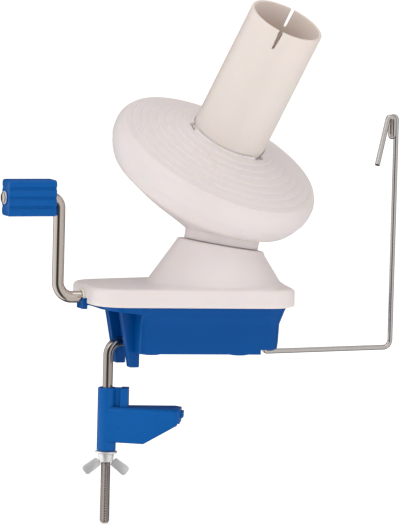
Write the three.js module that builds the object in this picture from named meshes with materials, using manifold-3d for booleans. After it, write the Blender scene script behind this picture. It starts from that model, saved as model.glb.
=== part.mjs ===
// Yarn ball winder with an oblique rotor, clamped to a table edge. Millimetres, +Z up.
// X points from the crank to the yarn guide, Y away from the winder's front, Z up.
// The origin lies on the underside of the base, below the middle of the turret.
import * as THREE from 'three';
import { mergeVertices } from 'three/addons/utils/BufferGeometryUtils.js';
import Module from 'manifold-3d';

const wasm = await Module();
wasm.setup();

// Fits
const gap = 0.3;                 // between pieces that touch or run in each other
const overrun = 1;               // how far a cutting solid passes the face it cuts

// Case
const seamHeight = 29;           // underside of the cover, above the seat
const coverHeight = 40;
const endRadius = 40.5;          // the slightly bowed end beside the yarn guide
const endHalfWidth = 49;
const endCornerX = 17;
const endCornerRadius = 18.5;
const tailLength = 86;           // from the origin to the crank end
const tailHalfWidth = 34.5;
const tailCornerRadius = 20;
const leastCorner = 0.4;
const coverWall = 2.4;
const coverEdgeRadius = 2.4;
const baseWall = 2.2;
const floorThickness = 2.6;
const endWallX = -58.5;          // end wall of the tray, under the tail
const flangeThickness = 4.5;
const flangeTailShare = 0.35;    // of its thickness left at the crank end

// Turret
const turretTilt = THREE.MathUtils.degToRad(9);
const turretTop = new THREE.Vector3(0.7, 0, 63);
const turretFootRadius = 39.5;
const turretFootX = -3.2;
const turretFootRise = 1.8;
const turretTopRadius = 26.8;
const turretWall = 2.4;
const turretPlate = 3;
const turretFillet = 1.8;
const turretEdge = 2;

// Rotor and spool
const spoolTilt = THREE.MathUtils.degToRad(27);   // between the rotor's axis and the spool's axis
const restTurn = THREE.MathUtils.degToRad(-75);   // where the spool leans in the photographed pose
const pivotRise = 85.5;          // turret top to the point where both axes meet
const rimDrop = 44.5;            // that point down to the plane of the rim
const rimRadius = 65.2;
const rimBand = 14.7;            // depth of the rounded band at the rim
const rimCore = rimRadius - rimBand;
const bandRise = 13;             // the band's half axes above and below the rim plane
const bandFall = 20;
const collarRadius = 22.4;
const collarHeight = 6;
const collarWall = 2;
const dishWall = 2;
const rimSeam = 6;               // underside of the hat's edge, below the rim plane
const dishBandEnd = 15;          // where the band runs out into the funnel, below the rim plane
const dishBulgeShare = 0.05;     // how far the funnel swells, of its slant length
const rimInset = 0.6;
const collarClearance = 0.6;
const ringInset = 6.1;           // from the rim in to the outermost terrace of the hat
const ringRadius = rimRadius - ringInset;
const seatRise = 25.6;           // foot of the tube above the rim plane
const hatWall = 2.2;
const terraceCount = 7;
const terraceStep = 0.8;         // height of the small riser at each terrace
const terraceLead = 0.3;         // and how far it leans out
const tubeRadius = 22.7;
const tubeWall = 1.8;
const tubeLength = 77.9;
const tubeSocketDepth = 5;
const tubeEdge = 0.6;
const socketLip = 1.2;           // ring of the hat round the tube's foot
const hatDisc = 24.1;            // top of the hat's floor inside the tube
const slotWidth = 3;
const slotDepth = 11;
const keyWidth = 8;
const keyDepth = 2.6;
const keyReach = 1;
const keyTurn = THREE.MathUtils.degToRad(-100);
const slotTurn = THREE.MathUtils.degToRad(75);

// Drive
const shaftRadius = 3;
const crankHeight = 32.4;
const crankRodRadius = 3.5;
const bushWall = 1.1;
const driveModule = 2;
const crankTeeth = 24;
const pinionTeeth = 8;
const driveFace = 6;
const sunTeeth = 12;
const spoolTeeth = 24;
const spoolCone = 60.5;          // cone distance of the sun and spool gears
const spoolFace = 6;
const shaftTop = 38;             // above the turret, along the slant
const studLength = 8;
const endScrewHead = 2.5;
const endScrewRadius = 5;
const bridgeGap = 1.6;
const bridgeRingBottom = 0.9;
const bridgeRingTop = 4.5;
const bridgePost = 4;
const bridgeWidth = 7;
const bridgeArm = 3;
const bridgeArmTop = 36.3;
const bridgeHubRadius = 6.5;
const bridgeTurns = [0, 100, -100].map(THREE.MathUtils.degToRad);
const spindleRadius = 3;
const spindleBossRadius = 6.5;
const spindleBossTop = 19;        // below the rim plane
const spindleBossDepth = 13;
const spindleBottom = 28;
const spindleTop = 24.1;
const spindleScrewRadius = 6;
const spoolHubRadius = 8;
const spoolHubTop = 18.1;
const spoolHubRoot = 43.1;       // from the meeting of the axes down to the foot of its upper hub
const spoolBackHubRadius = 9;
const sunHubDepth = 2;           // turned down behind the sun's teeth
const sunNose = 1.6;             // and in front of them
const crankHub = { radius: 8.5, root: 15.4, height: 20 };     // behind the teeth, from the crossing
const crankNose = { radius: 7.5, root: 11.2, height: 9.2 };
const pinionHub = { radius: 6, root: 26.6, height: 27.7 };
const pinionNose = { radius: 4.6, root: 19.6, height: 18 };

// Crank
const crankArmReach = 15.7;      // how far the crank's arm stands off the case
const crankArmX = -tailLength - crankArmReach;
const crankArmRise = 59;
const crankBend = 9;
const crankTopBend = 6;
const gripLength = 29.6;
const gripStandoff = 3.9;        // from the middle of the crank's arm to the grip
const gripStartX = crankArmX - gripStandoff;
const gripHeight = 21.5;
const gripDepth = 15;
const gripCorner = 4;
const gripPinRadius = 2.5;
const gripFlutes = 3;
const fluteDepth = 0.9;
const fluteRadius = 4;
const gripThroat = 7;            // length of the wide bore where the rod enters
const gripMouth = 3;
const gripWasherThickness = 0.8;
const gripHeadSpread = 0.9;
const gripHeadHeight = 1;

// Clamp
const rodRadius = 3;
const rodX = -69;
const rodSocketHeight = 5.6;
const rodBend = 8;
const rodInnerX = -38;
const rodBottom = -103;
const legOffset = 12.3;
const legThickness = 6;
const legDrop = 8.5;
const legFoot = 5.9;
const legLean = 6.3;
const jawTop = -33;
const jawPostTop = -21.8;
const jawPostBottom = -59.6;
const jawPostRadius = 5.7;
const jawReach = 44;
const jawTurn = THREE.MathUtils.degToRad(-24);
const jawPlate = 2.6;
const jawTipHalfWidth = 12.5;
const jawCorner = 4;
const jawHeel = -54;
const jawHeelReach = 23;
const jawTipDepth = 8.6;
const jawStopReach = 12.6;
const jawStopThickness = 4.5;
const jawLip = 1.6;
const jawLipHalfWidth = 5;
const washerRadius = 6.6;
const washerThickness = 1.2;
const nutHeight = 5;
const nutHubRadius = 4.6;
const nutWingLength = 14.5;
const nutWingWidth = 6.2;
const nutWingThickness = 2;
const nutTaperShare = 0.8;
const nutTurn = THREE.MathUtils.degToRad(-20);
const nutWingDroop = THREE.MathUtils.degToRad(38);

// Yarn guide
const guideWireRadius = 1.5;
const guidePivot = new THREE.Vector2(18, -29.6);
const guideReach = 87.2;
const guideTurn = THREE.MathUtils.degToRad(7.2);
const guideHeight = 141;
const guideBend = 4.5;
const guideRecess = 3.4;
const guideRecessX = 13;
const guideHoleDepth = 12;
const guideFloat = 0.1;
const guideHeelBend = 3;
const loopPitch = 4;
const loopSlack = 0.05;
const loopDrop = 12;
const guideTip = 113;            // height of the free end
const guideTipReach = 20;        // and its place, in from the post and to the front
const guideTipSplay = 13;
const clipWidth = 1.2;
const clipThickness = 1;

const up = new THREE.Vector3(0, 0, 1);

// Materials
const finish = (color, roughness, metalness = 0) =>
  new THREE.MeshStandardMaterial({ color, roughness, metalness });
const whitePlastic = finish(0xe3dbd9, 0.42);
const bluePlastic = finish(0x0f5aa8, 0.34);
const nylon = finish(0xe9e6da, 0.5);
const steel = finish(0x9a918c, 0.26, 1);
const zinc = finish(0xd4d4d4, 0.4, 1);
const wireSteel = finish(0xc9c4c2, 0.3, 1);

// A closed geometry as a solid that can be cut and joined.
function solid(geometry) {
  const bare = geometry.index ? geometry.toNonIndexed() : geometry.clone();
  bare.deleteAttribute('normal');
  bare.deleteAttribute('uv');
  const merged = mergeVertices(bare, 1e-4);
  return new wasm.Manifold(new wasm.Mesh({
    numProp: 3,
    vertProperties: new Float32Array(merged.attributes.position.array),
    triVerts: new Uint32Array(merged.index.array),
  }));
}

// The way back, from a solid to a geometry.
function geometryOf(body) {
  const mesh = body.getMesh();
  const geometry = new THREE.BufferGeometry();
  geometry.setAttribute('position', new THREE.BufferAttribute(mesh.vertProperties.slice(), 3));
  geometry.setIndex(new THREE.BufferAttribute(mesh.triVerts.slice(), 1));
  geometry.computeVertexNormals();
  return geometry;
}

const join = (...bodies) => bodies.reduce((sum, body) => sum.add(body));
const cut = (body, ...tools) => tools.reduce((rest, tool) => rest.subtract(tool), body);

// A frame of reference: its Z runs along axis, its X as near to the given side as it can.
function frameAt(place, axis, side) {
  const z = axis.clone().normalize();
  const x = side.clone().addScaledVector(z, -side.dot(z)).normalize();
  const y = new THREE.Vector3().crossVectors(z, x);
  return new THREE.Matrix4().makeBasis(x, y, z).setPosition(place);
}

const placed = (geometry, matrix) => solid(geometry.clone().applyMatrix4(matrix));

// Rings of points, all of one length, skinned from first to last and closed at both ends.
function loft(rings) {
  const count = rings[0].length;
  const points = rings.flat();
  const faces = [];
  for (let r = 0; r + 1 < rings.length; r += 1) {
    for (let i = 0; i < count; i += 1) {
      const j = (i + 1) % count;
      const [a, b] = [r * count + i, r * count + j];
      faces.push(a, b, b + count, a, b + count, a + count);
    }
  }
  for (const end of [0, rings.length - 1]) {
    const centre = new THREE.Vector3();
    rings[end].forEach((p) => centre.addScaledVector(p, 1 / count));
    const hub = points.push(centre) - 1;
    for (let i = 0; i < count; i += 1) {
      const [a, b] = [end * count + i, end * count + ((i + 1) % count)];
      faces.push(...(end === 0 ? [hub, b, a] : [hub, a, b]));
    }
  }
  const geometry = new THREE.BufferGeometry().setFromPoints(points);
  geometry.setIndex(faces);
  return geometry;
}

const circle = (frame, radius, count, height = 0) =>
  Array.from({ length: count }, (_, i) => {
    const a = (2 * Math.PI * i) / count;
    return new THREE.Vector3(radius * Math.cos(a), radius * Math.sin(a), height).applyMatrix4(frame);
  });

// A profile of [radius, height] pairs turned about the frame's Z.
function turned(profile, frame, count = 24) {
  const points = profile.map(([r, z]) => new THREE.Vector2(r, z));
  return placed(new THREE.LatheGeometry(points, count).rotateX(Math.PI / 2), frame);
}

const rod = (frame, radius, from, to, count = 16) =>
  turned([[0, from], [radius, from], [radius, to], [0, to]], frame, count);

// A box given by its lowest and highest corners in a frame.
function block(low, high, frame = new THREE.Matrix4()) {
  const size = high.map((value, i) => value - low[i]);
  const box = new THREE.BoxGeometry(...size);
  box.translate(...low.map((value, i) => value + size[i] / 2));
  return placed(box, frame);
}

// A flat outline extruded along the frame's Z.
function plate(outline, from, to, frame = new THREE.Matrix4()) {
  const shape = outline instanceof THREE.Shape
    ? outline
    : new THREE.Shape(outline.map(([x, y]) => new THREE.Vector2(x, y)));
  const geometry = new THREE.ExtrudeGeometry(shape, { depth: to - from, bevelEnabled: false, curveSegments: 6 });
  return placed(geometry.translate(0, 0, from), frame);
}

// The centre line of a bent rod: straight runs between corners, each rounded by an arc.
class BentLine extends THREE.Curve {
  constructor(corners, radii, bendSteps) {
    super();
    this.stations = [];
    const last = corners.length - 1;
    corners.forEach((corner, i) => {
      const before = i > 0 ? corner.clone().sub(corners[i - 1]).normalize() : null;
      const after = i < last ? corners[i + 1].clone().sub(corner).normalize() : null;
      if (!before || !after) {
        this.stations.push({ point: corner, tangent: before || after });
        return;
      }
      const turn = before.angleTo(after);
      const trim = radii[i - 1] * Math.tan(turn / 2);
      const start = corner.clone().addScaledVector(before, -trim);
      const side = after.clone().addScaledVector(before, -after.dot(before)).normalize();
      for (let s = 0; s <= bendSteps; s += 1) {
        const a = (turn * s) / bendSteps;
        this.stations.push({
          point: start.clone()
            .addScaledVector(before, radii[i - 1] * Math.sin(a))
            .addScaledVector(side, radii[i - 1] * (1 - Math.cos(a))),
          tangent: before.clone().multiplyScalar(Math.cos(a)).addScaledVector(side, Math.sin(a)),
        });
      }
    });
  }

  station(u) {
    return this.stations[Math.round(u * (this.stations.length - 1))];
  }

  getPoint(u) { return this.station(u).point.clone(); }

  getPointAt(u) { return this.getPoint(u); }

  getTangent(u) { return this.station(u).tangent.clone(); }

  getTangentAt(u) { return this.getTangent(u); }
}

// A round rod bent along a line.
function bentRod(corners, radii, radius, sides, bendSteps = 6) {
  const line = new BentLine(corners, radii, bendSteps);
  const section = new THREE.Shape();
  for (let i = 0; i < sides; i += 1) {
    const a = (2 * Math.PI * i) / sides;
    section[i ? 'lineTo' : 'moveTo'](radius * Math.cos(a), radius * Math.sin(a));
  }
  section.closePath();
  return solid(new THREE.ExtrudeGeometry(section, { steps: line.stations.length - 1, extrudePath: line }));
}

// Axes of the drive
const rotorAxis = new THREE.Vector3(Math.sin(turretTilt), 0, Math.cos(turretTilt));
const frontSide = new THREE.Vector3(1, 0, 0);
const turretFrame = frameAt(turretTop, rotorAxis, frontSide);
const leanSide = new THREE.Vector3(Math.cos(restTurn), Math.sin(restTurn), 0)
  .transformDirection(turretFrame);
const rotorFrame = frameAt(turretTop, rotorAxis, leanSide);
const spoolAxis = new THREE.Vector3(Math.sin(spoolTilt), 0, Math.cos(spoolTilt))
  .transformDirection(rotorFrame);
const meeting = turretTop.clone().addScaledVector(rotorAxis, pivotRise);
const rimCentre = meeting.clone().addScaledVector(spoolAxis, -rimDrop);
const spoolFrame = frameAt(rimCentre, spoolAxis, rotorAxis.clone().negate());
const keyFrame = spoolFrame.clone().multiply(new THREE.Matrix4().makeRotationZ(keyTurn));
const crankAxis = new THREE.Vector3(1, 0, 0);
const crossing = turretTop.clone()
  .addScaledVector(rotorAxis, -(turretTop.z - crankHeight) / rotorAxis.z);
const crankFrame = frameAt(crossing, crankAxis, up);

// Cone angles of a bevel pair from the tooth numbers and the angle between the shafts.
function coneAngles(teeth, mateTeeth, shaftAngle) {
  const own = Math.atan2(Math.sin(shaftAngle), mateTeeth / teeth + Math.cos(shaftAngle));
  return [own, shaftAngle - own];
}

const driveAngle = Math.PI / 2 - turretTilt;
const [crankCone, pinionCone] = coneAngles(crankTeeth, pinionTeeth, driveAngle);
const [sunCone, spoolGearCone] = coneAngles(sunTeeth, spoolTeeth, spoolTilt);
const driveCone = (driveModule * crankTeeth) / 2 / Math.sin(crankCone);
const spoolModule = (2 * spoolCone * Math.sin(sunCone)) / sunTeeth;

// Straight bevel gear. The frame's origin is the cone's apex and its Z points from the apex to
// the gear. A tooth is centred on the frame's X, or a gap where half a pitch is asked for.
const toothShares = { pitch: 0.4, tip: 0.2, root: 0.58, addendum: 0.9, dedendum: 1.2 };
function bevelGear(frame, teeth, module, cone, apexDistance, face, backHub, frontHub, halfPitch) {
  const ring = (scale) => {
    const points = [];
    const pitchAngle = Math.PI / teeth;
    for (let t = 0; t < teeth; t += 1) {
      const middle = 2 * pitchAngle * (t + (halfPitch ? 0.5 : 0));
      const corners = [
        [-toothShares.root, -toothShares.dedendum],
        [-toothShares.tip, toothShares.addendum],
        [toothShares.tip, toothShares.addendum],
        [toothShares.root, -toothShares.dedendum],
      ];
      for (const [turnShare, heightShare] of corners) {
        const a = middle + turnShare * pitchAngle;
        const h = heightShare * module;
        const r = (apexDistance * Math.sin(cone) + h * Math.cos(cone)) * scale;
        const z = (apexDistance * Math.cos(cone) - h * Math.sin(cone)) * scale;
        points.push(new THREE.Vector3(r * Math.cos(a), r * Math.sin(a), z));
      }
    }
    return points;
  };
  const flat = (points, radius, z) => points.map((p) =>
    new THREE.Vector3(p.x, p.y, 0).setLength(radius).setZ(z));
  const large = ring(1);
  const small = ring((apexDistance - face) / apexDistance);
  const rings = [
    flat(small, frontHub.radius, frontHub.height),
    flat(small, frontHub.radius, frontHub.root),
    small,
    large,
    flat(large, backHub.radius, backHub.root),
    flat(large, backHub.radius, backHub.height),
  ];
  return placed(loft(rings), frame);
}

const assembly = new THREE.Group();
function add(name, body, material) {
  const mesh = new THREE.Mesh(geometryOf(body), material);
  mesh.name = name;
  assembly.add(mesh);
}

// The case in plan is what a cord would enclose if it were laid round these discs.
const tailDisc = { x: tailCornerRadius - tailLength, y: tailHalfWidth - tailCornerRadius, radius: tailCornerRadius };
const cornerDisc = { x: endCornerX, y: endHalfWidth - endCornerRadius, radius: endCornerRadius };
const caseDiscs = [
  { x: 0, y: 0, radius: endRadius }, cornerDisc, tailDisc,
  { ...tailDisc, y: -tailDisc.y }, { ...cornerDisc, y: -cornerDisc.y },
];

// Its outline at a height, drawn in from the cover's outline. Neighbouring discs are joined
// along their common tangent, and each disc gives an arc between its two tangents.
const arcStep = THREE.MathUtils.degToRad(14);
function caseOutline(inset, height) {
  const tangents = caseDiscs.map((disc, i) => {
    const next = caseDiscs[(i + 1) % caseDiscs.length];
    const reach = Math.hypot(next.x - disc.x, next.y - disc.y);
    return Math.atan2(next.y - disc.y, next.x - disc.x) - Math.acos((disc.radius - next.radius) / reach);
  });
  return caseDiscs.flatMap((disc, i) => {
    const from = tangents.at(i - 1);
    const turn = THREE.MathUtils.euclideanModulo(tangents[i] - from, 2 * Math.PI);
    const steps = Math.ceil(turn / arcStep);
    const radius = Math.max(disc.radius - inset, leastCorner);
    return Array.from({ length: steps + 1 }, (_, k) => {
      const a = from + (turn * k) / steps;
      return new THREE.Vector3(disc.x + radius * Math.cos(a), disc.y + radius * Math.sin(a), height);
    });
  });
}

const still = new THREE.Matrix4();
const at = (x, y, z = 0) => new THREE.Matrix4().makeTranslation(x, y, z);
// Flat outlines in the XZ plane: the frame's Y is the assembly's Z, and its Z points to the front.
const sideView = new THREE.Matrix4().makeBasis(frontSide, up, new THREE.Vector3(0, -1, 0));

// Bearings of the crank
const bushOuterRadius = crankRodRadius + gap + bushWall;
const bearingRadius = bushOuterRadius + gap;
const bearingHalfWidth = 7.2;
const bearingTop = crankHeight - gap;
const blockDepth = 8.8;
const blockProud = 1.8;          // how far the outer one stands out of the case
const innerBlockX = -35;
const tailBlock = { from: -tailLength - blockProud, to: -tailLength - blockProud + blockDepth };
const innerBlock = { from: innerBlockX, to: innerBlockX + blockDepth - bushWall };
const bushInset = 0.6;           // bush ends from the faces of its block
const crankInnerX = -13;

// Case screws
const screwEndX = 21;
const screwEndY = 21;
const screwTailX = -47;
const screwTailY = 12;
const screwPlaces = [
  [screwEndX, screwEndY], [screwEndX, -screwEndY], [screwTailX, screwTailY], [screwTailX, -screwTailY],
];
const screwRadius = 1.5;
const screwHeadRadius = 3;
const screwHeadHeight = 2;
const screwRecess = 0.6;
const screwBossRadius = 4;
const coverBossRadius = 3.6;
const screwTop = 34.6;
const turretBossTop = 43;

// Underside of the base
const footRelief = 0.6;
const footRadius = 6;
const footEndX = 2;
const footEndY = 30;
const footTailX = -50;
const footTailY = 20.5;
const footPlaces = [
  [footEndX, footEndY], [footEndX, -footEndY], [footTailX, footTailY], [footTailX, -footTailY],
];
const seatPadRadius = 16;

// Lower bearing of the main shaft
const shaftFloor = 1.75;
const shaftBottom = -(turretTop.z - shaftFloor) / rotorAxis.z;
const shaftBossRadius = 6.5;
const shaftBossTop = -59.2;

// Sun gear and its sleeve on the turret
const spigotRadius = 7.7;
const sunFlangeRadius = 13.4;
const sunFlangeThickness = 2.4;
const sunSleeveRadius = 5.4;

// The tray's wall stands in from the cover's outline: a drafted wall under a flared upper band.
const floorInset = 9.6;
const wallInset = 8.6;
const rimTrayInset = 4.8;
const flareStart = 18;
const flareShares = [[0.26, 0.33], [0.63, 0.65]];   // of the flare's spread, by shares of its height
const baseInsets = [
  [floorInset, 0],
  [wallInset, flareStart],
  ...flareShares.map(([out, rise]) => [
    wallInset + (rimTrayInset - wallInset) * out, flareStart + (seamHeight - gap - flareStart) * rise,
  ]),
  [rimTrayInset, seamHeight - gap],
];

function coverBody() {
  const edge = coverEdgeRadius;
  const roundShare = 0.3;        // of a rounded edge's radius, cut back at its middle
  const filletShares = { out: 0.3, rise: 0.35 };
  const outer = placed(loft([
    caseOutline(0, seamHeight),
    caseOutline(0, coverHeight - edge),
    caseOutline(edge * roundShare, coverHeight - edge * roundShare),
    caseOutline(edge, coverHeight),
  ]), still);
  const inner = placed(loft([
    caseOutline(coverWall, seamHeight - overrun),
    caseOutline(coverWall, coverHeight - coverWall),
  ]), still);
  const sides = 40;
  const foot = (radius, height) => circle(at(turretFootX, 0), radius, sides, height);
  const turret = placed(loft([
    foot(turretFootRadius + turretFillet, coverHeight - coverWall / 2),
    foot(turretFootRadius + turretFillet, coverHeight),
    foot(turretFootRadius + turretFillet * filletShares.out, coverHeight + turretFootRise * filletShares.rise),
    foot(turretFootRadius, coverHeight + turretFootRise),
    circle(turretFrame, turretTopRadius, sides, -turretEdge),
    circle(turretFrame, turretTopRadius - turretEdge * roundShare, sides, -turretEdge * roundShare),
    circle(turretFrame, turretTopRadius - turretEdge, sides, 0),
  ]), still);
  const hollow = placed(loft([
    foot(turretFootRadius - turretWall, coverHeight - coverWall - overrun),
    foot(turretFootRadius - turretWall, coverHeight),
    circle(turretFrame, turretTopRadius - turretWall, sides, -turretPlate - turretEdge),
    circle(turretFrame, turretTopRadius - turretWall - turretEdge / 2, sides, -turretPlate),
  ]), still);
  const shell = cut(join(outer, turret), inner, hollow);
  const bosses = screwPlaces.map(([x, y]) => rod(
    at(x, y), coverBossRadius, seamHeight + gap,
    x > 0 ? turretBossTop : coverHeight - coverWall / 2, 16));
  const pilots = screwPlaces.map(([x, y]) => rod(
    at(x, y), screwRadius + gap, seamHeight - overrun, screwTop + gap, 12));
  const spigotHole = rod(turretFrame, spigotRadius + gap, -turretPlate - overrun, overrun);
  const wallFrom = tailBlock.from - overrun;
  const wallTo = -tailLength + coverWall + overrun;
  const tailNotch = block([wallFrom, -bearingHalfWidth - gap, seamHeight - overrun],
    [wallTo, bearingHalfWidth + gap, bearingTop + gap]);
  const tailArch = rod(crankFrame, bearingRadius, wallFrom - crossing.x, wallTo - crossing.x);
  return cut(join(shell, ...bosses), ...pilots, spigotHole, tailNotch, tailArch);
}

function baseBody() {
  const outer = placed(loft(baseInsets.map(([inset, z]) => caseOutline(inset, z))), still);
  const inside = placed(loft([
    ...baseInsets.map(([inset, z]) => caseOutline(inset + baseWall, Math.max(z, floorThickness))),
    caseOutline(baseInsets.at(-1)[0] + baseWall, seamHeight + overrun),
  ]), still);
  const wide = 2 * tailLength;
  const tailSolid = block([-wide, -wide, -overrun], [endWallX + baseWall, wide, seamHeight + 2 * overrun]);
  const recessRoof = guideRecess + baseWall;
  const raisedFloor = block([guideRecessX - baseWall, -wide, 0], [wide, wide, recessRoof]);
  const tray = cut(outer, cut(inside, tailSolid, raisedFloor));
  const underTail = plate([
    [endWallX, -overrun],
    [endWallX, seamHeight - flangeThickness],
    [-tailLength, seamHeight - flangeThickness * flangeTailShare],
    [-wide, seamHeight - flangeThickness * flangeTailShare],
    [-wide, -overrun],
  ], -wide, wide, sideView);
  const guideStep = block([guideRecessX, -wide, -overrun], [wide, wide, guideRecess]);
  const pads = [...footPlaces.map(([x, y]) => rod(at(x, y), footRadius, -overrun, footRelief + overrun, 20)),
    rod(still, seatPadRadius, -overrun, footRelief + overrun, 32)];
  const relief = cut(block([-wide, -wide, -overrun], [guideRecessX + overrun, wide, footRelief]), ...pads);

  const crankBlock = (part) => block(
    [part.from, -bearingHalfWidth, part === tailBlock ? seamHeight - flangeThickness : 0],
    [part.to, bearingHalfWidth, bearingTop]);
  const socketTop = rodSocketHeight + rodRadius + gap + baseWall;
  const socketHalfWidth = rodRadius + gap + baseWall;
  const socket = block([endWallX, -socketHalfWidth, 0], [rodInnerX + baseWall, socketHalfWidth, socketTop]);
  const legOutline = [
    [endWallX - legLean - baseWall, seamHeight - flangeThickness + overrun],
    [endWallX - baseWall, -legDrop],
    [endWallX - baseWall + legFoot, -legDrop],
    [endWallX - baseWall + legFoot, seamHeight - flangeThickness + overrun],
  ];
  const legs = [-legOffset, legOffset].map((y) =>
    plate(legOutline, -y - legThickness / 2, -y + legThickness / 2, sideView));
  const screwBosses = screwPlaces.map(([x, y]) =>
    rod(at(x, y), screwBossRadius, floorThickness / 2, seamHeight - gap, 16));
  const shaftBoss = cut(
    rod(turretFrame, shaftBossRadius, shaftBottom - floorThickness, shaftBossTop),
    block([-wide, -wide, -wide], [wide, wide, 0]));
  const guideBoss = rod(at(guidePivot.x, guidePivot.y), guideWireRadius + gap + baseWall, guideRecess,
    guideRecess + guideHoleDepth, 20).intersect(outer);

  const seat = (x) => (x > guideRecessX ? guideRecess : footRelief);
  const screwHoles = screwPlaces.flatMap(([x, y]) => [
    rod(at(x, y), screwRadius + gap, 0, seamHeight, 12),
    rod(at(x, y), screwHeadRadius + gap, -overrun, seat(x) + screwRecess + screwHeadHeight, 16),
  ]);
  const wallFrom = tailBlock.from - overrun;
  const crankBores = [
    rod(crankFrame, bearingRadius, wallFrom - crossing.x, tailBlock.to + overrun - crossing.x),
    rod(crankFrame, bearingRadius, innerBlock.from - overrun - crossing.x,
      innerBlock.to + overrun - crossing.x),
    rod(crankFrame, crankRodRadius + 2 * gap, wallFrom - crossing.x, innerBlock.from - crossing.x),
  ];
  const rodBore = rod(frameAt(new THREE.Vector3(0, 0, rodSocketHeight), crankAxis, up), rodRadius + gap,
    endWallX - legFoot - overrun, rodInnerX + gap);
  const shaftBore = rod(turretFrame, shaftRadius + gap, shaftBottom - gap, shaftBossTop + overrun);
  const guideBore = rod(at(guidePivot.x, guidePivot.y), guideWireRadius + gap, -overrun,
    guideRecess + guideHoleDepth + overrun, 16);
  const guideMouth = turned([
    [0, guideRecess - overrun], [guideWireRadius + gap + guideHeelBend, guideRecess - overrun],
    [guideWireRadius + gap, guideRecess + guideHeelBend], [0, guideRecess + guideHeelBend],
  ], at(guidePivot.x, guidePivot.y), 16);

  const shell = cut(tray, underTail, guideStep, relief);
  const fitted = join(shell, crankBlock(tailBlock), crankBlock(innerBlock), socket, ...legs,
    ...screwBosses, shaftBoss, guideBoss);
  return cut(fitted, ...screwHoles, ...crankBores, rodBore, shaftBore, guideBore, guideMouth);
}

function caseScrew([x, y]) {
  const seat = (x > guideRecessX ? guideRecess : footRelief) + screwRecess;
  return turned([
    [0, seat], [screwHeadRadius, seat], [screwHeadRadius, seat + screwHeadHeight - gap],
    [screwRadius, seat + screwHeadHeight - gap], [screwRadius, screwTop], [0, screwTop],
  ], at(x, y), 12);
}

// Crank: one bent rod, turned down where the grip runs, its end spread over a washer
function crankBody() {
  const armTop = crankHeight + crankArmRise;
  const stout = bentRod([
    new THREE.Vector3(crankInnerX, 0, crankHeight),
    new THREE.Vector3(crankArmX, 0, crankHeight),
    new THREE.Vector3(crankArmX, 0, armTop),
    new THREE.Vector3(gripStartX - gripThroat, 0, armTop),
  ], [crankBend, crankTopBend], crankRodRadius, 20, 7);
  const pinFrame = frameAt(new THREE.Vector3(0, 0, armTop), crankAxis.clone().negate(), up);
  const pinStart = -(gripStartX - gripThroat) - overrun;
  const pinEnd = -gripStartX + gripLength + gap + gripWasherThickness + gap;
  const pin = turned([
    [0, pinStart], [gripPinRadius, pinStart], [gripPinRadius, pinEnd],
    [gripPinRadius + gripHeadSpread, pinEnd], [gripPinRadius + gripHeadSpread, pinEnd + gripHeadHeight * 0.5],
    [gripPinRadius * 0.7, pinEnd + gripHeadHeight], [0, pinEnd + gripHeadHeight],
  ], pinFrame, 20);
  return join(stout, pin);
}

// Grip: a rounded block with shallow flutes along its length, on all four sides
function gripBody() {
  const [halfHeight, halfDepth] = [gripHeight / 2, gripDepth / 2];
  const section = new THREE.Shape();
  section.moveTo(halfHeight - gripCorner, -halfDepth);
  section.absarc(halfHeight - gripCorner, -halfDepth + gripCorner, gripCorner, -Math.PI / 2, 0, false);
  section.absarc(halfHeight - gripCorner, halfDepth - gripCorner, gripCorner, 0, Math.PI / 2, false);
  section.absarc(-halfHeight + gripCorner, halfDepth - gripCorner, gripCorner, Math.PI / 2, Math.PI, false);
  section.absarc(-halfHeight + gripCorner, -halfDepth + gripCorner, gripCorner, Math.PI, 1.5 * Math.PI, false);
  const armTop = crankHeight + crankArmRise;
  const frame = frameAt(new THREE.Vector3(gripStartX, 0, armTop), crankAxis.clone().negate(), up);
  const blockBody = plate(section, 0, gripLength, frame);
  const flute = (x, y) => rod(frame.clone().multiply(at(x, y)), fluteRadius, -overrun, gripLength + overrun, 16);
  const fluteOffset = fluteRadius - fluteDepth;
  const flutes = [];
  for (let i = 0; i < gripFlutes; i += 1) {
    const x = (i - (gripFlutes - 1) / 2) * (gripHeight / (gripFlutes + 1));
    flutes.push(flute(x, halfDepth + fluteOffset), flute(x, -halfDepth - fluteOffset));
  }
  const bore = turned([
    [0, -overrun], [crankRodRadius + 2 * gap, -overrun], [crankRodRadius + 2 * gap, gripThroat + gap],
    [gripPinRadius + gap, gripThroat + gap], [gripPinRadius + gap, gripLength + overrun], [0, gripLength + overrun],
  ], frame, 24);
  const mouth = turned([
    [0, -overrun], [crankRodRadius + gripMouth, -overrun], [crankRodRadius + 2 * gap, gripThroat], [0, gripThroat],
  ], frame, 24);
  return cut(blockBody, ...flutes, bore, mouth);
}

function gripWasher() {
  const armTop = crankHeight + crankArmRise;
  const frame = frameAt(new THREE.Vector3(gripStartX - gripLength - gap, 0, armTop),
    crankAxis.clone().negate(), up);
  return cut(rod(frame, gripPinRadius + 2 * gripHeadSpread + gap, 0, gripWasherThickness, 20),
    rod(frame, gripPinRadius + gap / 2, -overrun, gripWasherThickness + overrun, 20));
}

function crankBush(part) {
  const [from, to] = [part.from + bushInset - crossing.x, part.to - bushInset - crossing.x];
  return cut(rod(crankFrame, bushOuterRadius, from, to),
    rod(crankFrame, crankRodRadius + gap, from - overrun, to + overrun));
}

// Gears. Every one is a straight bevel: the crank's pair meets at the crossing of the two
// shafts, and the sun and spool gears meet at the meeting of the rotor's and spool's axes.
function crankGear() {
  const frame = frameAt(crossing, crankAxis.clone().negate(), up);
  const gear = bevelGear(frame, crankTeeth, driveModule, crankCone, driveCone, driveFace,
    crankHub, crankNose, false);
  return cut(gear, rod(frame, crankRodRadius + gap, 0, driveCone));
}

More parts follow.
